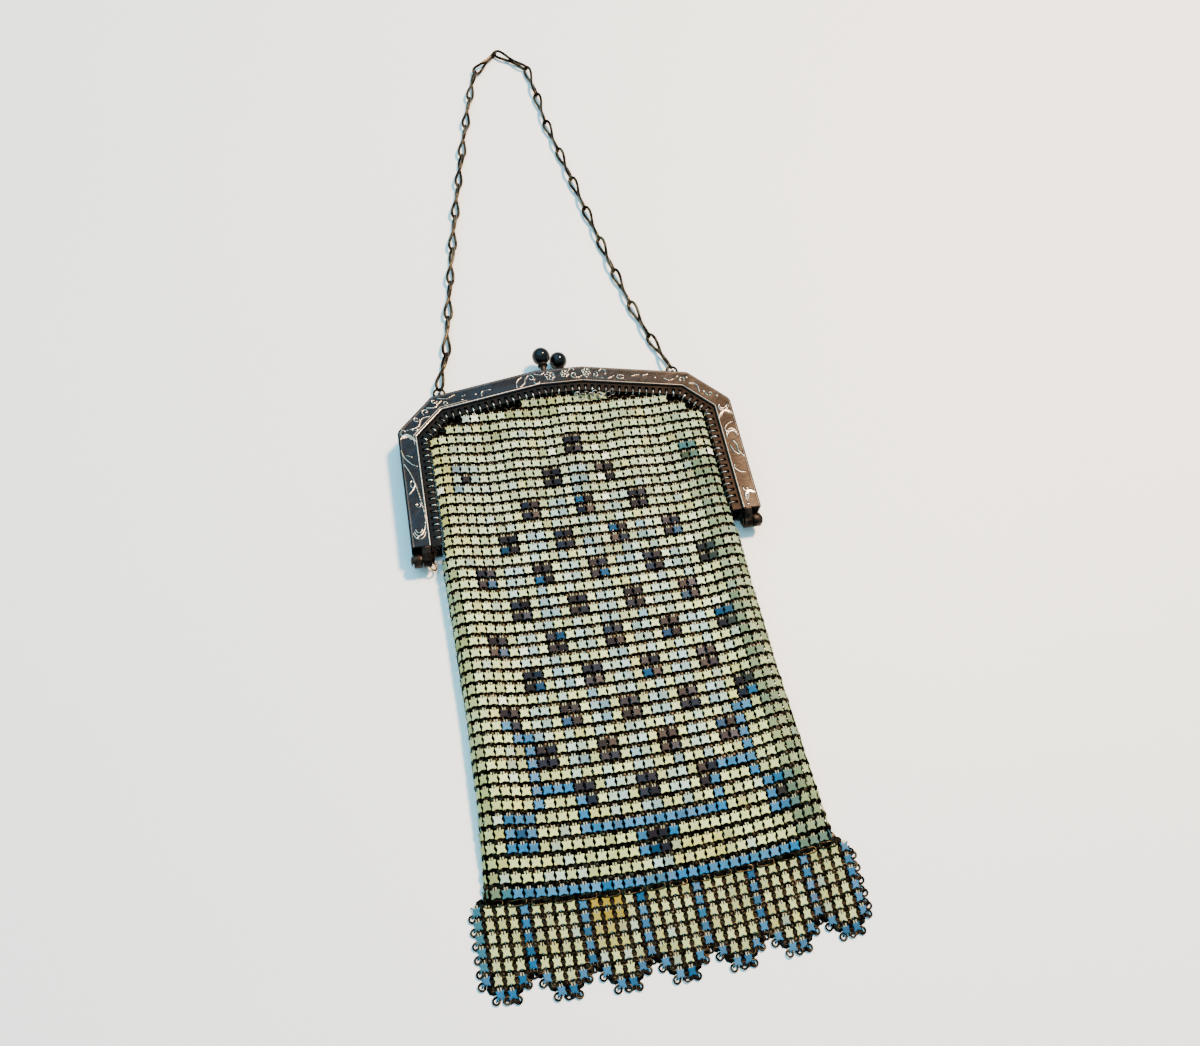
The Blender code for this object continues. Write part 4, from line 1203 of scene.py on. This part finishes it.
def channel_look(name, side, node_name):
    """The stamped channel with its relief, closed across its arms' ends."""
    spacing = FACE_STEP if side > 0 else BACK_STEP
    marks = stations(spacing)
    path = channel_section(spacing)
    bm = bmesh.new()
    bmesh.ops.create_grid(bm, x_segments=len(marks) - 1, y_segments=len(path) - 1, size=1.0)
    bm.verts.ensure_lookup_table()
    middle = lane_points(FACE_WIDTH / 2, marks)
    distance = np.concatenate([[0], np.cumsum(np.hypot(*np.diff(middle, axis=0).T))])
    lanes = np.vstack([lane_points(inset, marks) for inset, _ in path])
    along = np.tile(distance, len(path))
    across = np.repeat([inset for inset, _ in path], len(marks))
    heights = np.repeat([height for _, height in path], len(marks))
    on_face = heights >= HALF_HEIGHT - 0.02
    lift = np.maximum(relief_heights(along, across), border_heights(along, across)) * on_face
    raised = np.minimum(lift / RELIEF_HEIGHT, 1.0) + EDGE_SHINE * ~on_face
    layer = bm.verts.layers.float.new("raised")
    for vert, spot, height, bright in zip(bm.verts, lanes, heights + lift, raised):
        vert.co = (*spot, PART_Z + side * height)
        vert[layer] = bright
    bmesh.ops.remove_doubles(bm, verts=bm.verts, dist=0.0001)
    bmesh.ops.holes_fill(bm, edges=[e for e in bm.edges if e.is_boundary], sides=0)
    bmesh.ops.triangulate(bm, faces=[face for face in bm.faces if len(face.verts) > 4])
    piece(name, to_mesh(name, bm), FRAME_METAL, (node_name,), 60)


def arm_caps(name, side):
    """Small plates that close the channel at the arms' ends."""
    foot, roof = CLEARANCE / 2, HALF_HEIGHT - WALL
    profile = [(WALL, foot), (WALL, roof), (FACE_WIDTH - WALL, roof), (FACE_WIDTH - WALL, foot)]
    meshes = []
    for hand in (-1, 1):
        outline = [(hand * (FRAME_HALF_WIDTH - inset), ARM_END_Y + 0.5, PART_Z + side * height)
                   for inset, height in profile]
        meshes.append(to_mesh("cap", slab(outline, (0, 0.6, 0))))
    joined(name, meshes, DARK_METAL)


def flange_look(name, side):
    """The flange as a sheet with a row of slots, and the wire that laces it."""
    slot_line = FACE_WIDTH + FLANGE_WIDTH / 2
    run = arch_length(slot_line) - 2 * SLOT_END_MARGIN
    count = int(run / SLOT_PITCH) + 1
    first = SLOT_END_MARGIN + (run - (count - 1) * SLOT_PITCH) / 2
    cuts = [0.0]
    for i in range(count):
        cuts += [first + i * SLOT_PITCH - SLOT_WIDTH / 2, first + i * SLOT_PITCH + SLOT_WIDTH / 2]
    cuts.append(arch_length(slot_line))
    insets = [FACE_WIDTH - 0.2, slot_line - SLOT_LENGTH / 2, slot_line + SLOT_LENGTH / 2,
              FLANGE_INSET]
    bm = bmesh.new()
    bmesh.ops.create_grid(bm, x_segments=len(cuts) - 1, y_segments=3, size=1.0)
    bm.verts.ensure_lookup_table()
    z = PART_Z + side * (HALF_HEIGHT - FLANGE_RECESS)
    for index, vert in enumerate(bm.verts):
        lane, mark = divmod(index, len(cuts))
        spot, _, inward = along_arch(slot_line, min(cuts[mark], cuts[-1] - 0.001))
        point = spot + inward * (insets[lane] - slot_line)
        vert.co = (point.x, point.y, z)
    holes = [face for face in bm.faces
             if {vert.index // len(cuts) for vert in face.verts} == {1, 2}
             and min(vert.index % len(cuts) for vert in face.verts) % 2 == 1]
    bmesh.ops.delete(bm, geom=holes, context="FACES")
    if side < 0:
        bmesh.ops.reverse_faces(bm, faces=bm.faces)
    mesh = to_mesh(name, bm, outwards=False)
    store_values(mesh, "raised", np.zeros(len(mesh.vertices)))
    obj = piece(name, mesh, FLANGE_METAL)
    wall = obj.modifiers.new("sheet", "SOLIDIFY")
    wall.thickness = SHEET * MM
    wall.offset = -1
    rim = obj.modifiers.new("rim", "BEVEL")
    rim.width = 0.12 * MM
    rim.segments = 1
    rim.limit_method = "ANGLE"
    lacing(name.replace("flange", "lacing"), side, first, count, slot_line, z)


def lacing(name, side, first, count, slot_line, z):
    """A wire loop through each slot and round the flange's inner rail."""
    places = []
    for i in range(count):
        spot, along, inward = along_arch(slot_line, first + i * SLOT_PITCH)
        point = (*(spot + inward * 0.75), z - side * SHEET / 2)
        right, out = inward.to_3d(), along.to_3d()
        turn = Matrix.Rotation(math.radians(random.gauss(0, LACING_TILT)), 4, "Y")
        places.append(placed(point, right, out.cross(right), out) @ turn)
    add_rings(name, places, loop_pattern(*LACING_RING), LACING_METAL)


# Hinges

def lug_mesh(side, hand):
    """Plate from an arm's end round the pivot."""
    top = HALF_HEIGHT - SHEET / 3
    outer = FRAME_HALF_WIDTH - LUG_SIDE_MARGIN
    if side > 0:
        outer -= LUG_WIDTH + CLEARANCE
    root = ARM_END_Y + LUG_ROOT
    low = LUG_RADIUS / 4
    outline = [(root, low), (root, top), (ARM_END_Y - CLEARANCE, top)]
    for step in range(15):
        angle = math.radians(100 + 18.6 * step)
        outline.append((PIVOT_Y + LUG_RADIUS * math.cos(angle), LUG_RADIUS * math.sin(angle)))
    outline.append((PIVOT_Y + LUG_RADIUS, low))
    bm = slab([(hand * outer, y, PART_Z + side * height) for y, height in outline],
              (-hand * LUG_WIDTH, 0, 0))
    bmesh.ops.bevel(bm, geom=bm.edges[:], offset=LUG_BEVEL, segments=2, profile=0.5,
                    affect="EDGES", material=-1, clamp_overlap=True)
    return to_mesh("lug", bm)


def turned(profile, steps, turn, point):
    """A profile of (radius, height) pairs spun about Z, then turned and moved."""
    bm = bmesh.new()
    verts = [bm.verts.new((radius, 0, height)) for radius, height in profile]
    edges = [bm.edges.new(pair) for pair in zip(verts, verts[1:])]
    bmesh.ops.spin(bm, geom=verts + edges, cent=(0, 0, 0), axis=(0, 0, 1), angle=math.tau,
                   steps=steps, use_merge=True)
    bmesh.ops.remove_doubles(bm, verts=bm.verts, dist=0.001)
    mesh = to_mesh("turned", bm)
    turn.translation = Vector(point) * MM
    mesh.transform(turn)
    return mesh


def hinge_pins():
    length = 2 * LUG_WIDTH + CLEARANCE
    shank = length / 2 + CLEARANCE
    dome = [(0.0, shank + PIN_HEAD_HEIGHT)]
    dome += [(PIN_HEAD_RADIUS * math.sin(a), shank + PIN_HEAD_HEIGHT * math.cos(a))
             for a in np.linspace(0.0, math.pi / 2, 6)[1:]]
    profile = dome + [(PIN_RADIUS, shank), (PIN_RADIUS, -shank)]
    profile += [(radius, -height) for radius, height in reversed(dome)]
    middle = FRAME_HALF_WIDTH - LUG_SIDE_MARGIN - length / 2
    for hand, word in ((-1, "left"), (1, "right")):
        pin = turned(profile, 20, Matrix.Rotation(math.radians(90), 4, "Y"),
                     (hand * middle, PIVOT_Y, PART_Z))
        joined("rivet_" + word, [pin], DARK_METAL, ("hinge_pin_" + word,))


for word, side in (("front", 1), ("back", -1)):
    channel_look("frame_" + word + "_shell", side, "frame_" + word)
    arm_caps("caps_" + word, side)
    flange_look("flange_" + word, side)
    joined("lugs_" + word, [lug_mesh(side, -1), lug_mesh(side, 1)],
           DARK_METAL, smooth_angle=30)
hinge_pins()


# Clasp

def clasp(word, hand, side):
    x = CLASP_X + hand * CLASP_SPREAD / 2
    z = PART_Z + side * CLASP_RISE
    foot_y = FRAME_TOP_Y + CLEARANCE
    profile = [(0, POST_LENGTH), (POST_FOOT_RADIUS * 0.8, POST_LENGTH),
               (POST_FOOT_RADIUS, POST_LENGTH - 0.2),
               (POST_FOOT_RADIUS, POST_LENGTH - POST_FLANGE),
               (POST_RADIUS * 1.15, POST_LENGTH - 1.5 * POST_FLANGE),
               (POST_RADIUS, POST_LENGTH - 2 * POST_FLANGE), (POST_RADIUS, POST_FLANGE),
               (POST_FOOT_RADIUS, POST_FLANGE * 0.7), (POST_FOOT_RADIUS, 0), (0, 0)]
    post = turned(profile, 24, Matrix.Rotation(math.radians(-90), 4, "X"), (x, foot_y, z))
    joined("post_" + word, [post], DARK_METAL, ("clasp_post_" + word,), 35)
    bm = bmesh.new()
    bmesh.ops.create_uvsphere(bm, u_segments=40, v_segments=24, radius=BALL_RADIUS)
    bmesh.ops.translate(bm, verts=bm.verts,
                        vec=(x, foot_y + POST_LENGTH + CLEARANCE + BALL_RADIUS, z))
    name = "ball_" + word
    piece(name, to_mesh(name, bm), BLACK_BALL, ("clasp_ball_" + word,), 80)


clasp("left", -1, 1)
clasp("right", 1, -1)


# Chain and its ears

def tube_of(points, thickness, cyclic=True):
    """A round wire through points in millimetres, as a plain mesh in metres."""
    curve = bpy.data.curves.new("wire", "CURVE")
    curve.dimensions = "3D"
    curve.bevel_depth = thickness / 2 * MM
    curve.bevel_resolution = 3
    curve.use_fill_caps = not cyclic
    spline = curve.splines.new("POLY")
    spline.points.add(len(points) - 1)
    for spot, point in zip(spline.points, points):
        spot.co = (*(Vector(point) * MM), 1.0)
    spline.use_cyclic_u = cyclic
    obj = in_scene("wire", curve)
    bpy.context.view_layer.update()
    evaluated = obj.evaluated_get(bpy.context.evaluated_depsgraph_get())
    mesh = bpy.data.meshes.new_from_object(evaluated)
    bpy.data.objects.remove(obj)
    bpy.data.curves.remove(curve)
    return mesh


def circle(centre, radius, steps, first, second):
    """Points of a circle in the plane of two axes."""
    return [centre + (first * math.cos(a) + second * math.sin(a)) * radius
            for a in np.linspace(0, math.tau, steps, endpoint=False)]


def ring_centre(hand):
    y = shoulder_y(EAR_X) + EAR_STAND + RING_RADIUS
    return Vector((hand * EAR_X, y, PART_Z - EAR_DROP))


def chain_joints():
    """Points where links meet, evenly spaced along a smooth curve through the route."""
    start, end = (ring_centre(hand) + Y_AXIS * RING_RADIUS for hand in (-1, 1))
    knots = [start] + [Vector((x, y, CHAIN_Z)) for x, y in CHAIN_ROUTE] + [end]
    fine = [curve_point(knots, i, step / ROUTE_STEPS) for i in range(len(knots) - 1)
            for step in range(ROUTE_STEPS)] + knots[-1:]
    lengths = [0.0]
    for a, b in zip(fine, fine[1:]):
        lengths.append(lengths[-1] + (b - a).length)
    joints = []
    for i in range(LINK_COUNT + 1):
        goal = lengths[-1] * i / LINK_COUNT
        k = max(j for j in range(len(fine) - 1) if lengths[j] <= goal)
        u = (goal - lengths[k]) / (lengths[k + 1] - lengths[k])
        joints.append(fine[k].lerp(fine[k + 1], min(u, 1.0)))
    return joints


def link_wire(start, end, roll, count=36):
    """Centre line of a figure-eight link, twisted a quarter turn from end to end."""
    middle = (start + end) / 2
    along = (end - start).normalized()
    side = along.cross(Z_AXIS).normalized()
    up = side.cross(along)
    reach = (end - start).length / 2 + (CHAIN_WIRE - LINK_BITE) / 2
    cross_gap = CHAIN_WIRE / 2 + STRAND_GAP
    points = []
    for i in range(count):
        phase = math.tau * (i + 0.5) / count
        travel = math.cos(phase)
        angle = roll + LINK_TWIST / 2 * travel
        across = side * math.cos(angle) + up * math.sin(angle)
        normal = up * math.cos(angle) - side * math.sin(angle)
        width = LOBE_HALF_WIDTH * math.sin(2 * phase)
        lift = cross_gap * math.sin(phase)
        points.append(middle + along * (reach * travel) + across * width + normal * lift)
    return points


def chain_look():
    joints = chain_joints()
    meshes = [tube_of(circle(ring_centre(hand), RING_RADIUS, 28, X_AXIS, Y_AXIS), CHAIN_WIRE)
              for hand in (-1, 1)]
    for i, (start, end) in enumerate(zip(joints, joints[1:])):
        roll = LINK_ROLL * (1 if i % 3 else 0.4)
        meshes.append(tube_of(link_wire(start, end, roll), CHAIN_WIRE * LINK_SWELL))
    joined("chain_links", meshes, CHAIN_METAL, ("chain",), 80)


def ears():
    meshes = []
    for hand in (-1, 1):
        foot = Vector((hand * EAR_X, shoulder_y(EAR_X), PART_Z - EAR_DROP))
        loop = circle(foot + Y_AXIS * EAR_STAND, EAR_RADIUS, 20, Y_AXIS, Z_AXIS)
        stem = [foot - Y_AXIS * SHEET, foot + Y_AXIS * (EAR_STAND - EAR_RADIUS)]
        meshes += [tube_of(loop, EAR_WIRE), tube_of(stem, EAR_WIRE * 1.7, cyclic=False)]
    joined("ears", meshes, DARK_METAL)


def loose_rings():
    """Bright rings slack under the top bar, and the brass jump ring at the left hinge."""
    places = []
    for i in range(SLACK_COUNT):
        x = 5.0 + 1.6 * i
        y = 84.9 - 0.02 * x - 0.9 * (i % 2)
        lean_by = Matrix.Rotation(math.radians(random.gauss(35, 18)), 4, "X")
        places.append(placed((x, y, SLACK_Z), *UPRIGHT, SLACK_TILT) @ lean_by)
    add_rings("slack_rings", places, loop_pattern(*SLACK_RING), LACING_METAL)
    jump = placed(JUMP_PLACE, *UPRIGHT) @ Matrix.Rotation(math.radians(40), 4, "Y")
    add_rings("jump_ring", [jump], loop_pattern(*JUMP_RING), BRASS)


chain_look()
ears()
loose_rings()


# Table, light and camera

bm = bmesh.new()
bmesh.ops.create_grid(bm, x_segments=1, y_segments=1, size=2.0)
table = in_scene("table", to_mesh("table", bm, outwards=False, unit=1.0))
table.data.materials.append(new_material("pale_table", table_look))

CAMERA_AIM = Vector((5.1, 36.9, 0.0))
CAMERA_PLACE = Vector((-60.27, -137.15, 330.43))
CAMERA_ROLL = math.radians(11.25)
CAMERA_LENS = 33.0

camera_data = bpy.data.cameras.new("camera")
camera_data.sensor_fit = "HORIZONTAL"
camera_data.sensor_width = 36.0
camera_data.lens = CAMERA_LENS
camera_data.clip_start = 0.01
camera = in_scene("camera", camera_data)
forward = (CAMERA_AIM - CAMERA_PLACE).normalized()
level = forward.cross(Z_AXIS).normalized()
upward = level.cross(forward)
right = level * math.cos(CAMERA_ROLL) + upward * math.sin(CAMERA_ROLL)
camera.matrix_world = placed(CAMERA_PLACE, right, right.cross(forward), -forward)
bpy.context.scene.camera = camera


def area_light(name, place, aim, size, power, colour):
    data = bpy.data.lights.new(name, "AREA")
    data.shape = "RECTANGLE"
    data.size, data.size_y = size
    data.energy = power
    data.color = colour
    light = in_scene(name, data)
    light.location = place
    light.rotation_euler = (Vector(aim) - Vector(place)).to_track_quat("-Z", "Y").to_euler()


area_light("warm_key", (0.42, 0.32, 0.95), (0.0, 0.02, 0.0), (0.16, 0.16), 40.0,
           (1.0, 0.66, 0.42))
area_light("cool_fill", (-0.5, 0.5, 1.7), (0.0, 0.05, 0.0), (2.2, 2.2), 44.0,
           (0.16, 0.72, 1.0))

world = bpy.data.worlds.new("studio")
world.use_nodes = True
sky = world.node_tree.nodes["Background"].inputs
sky["Color"].default_value = (0.50, 0.84, 1.0, 1.0)
sky["Strength"].default_value = 1.0
bpy.context.scene.world = world
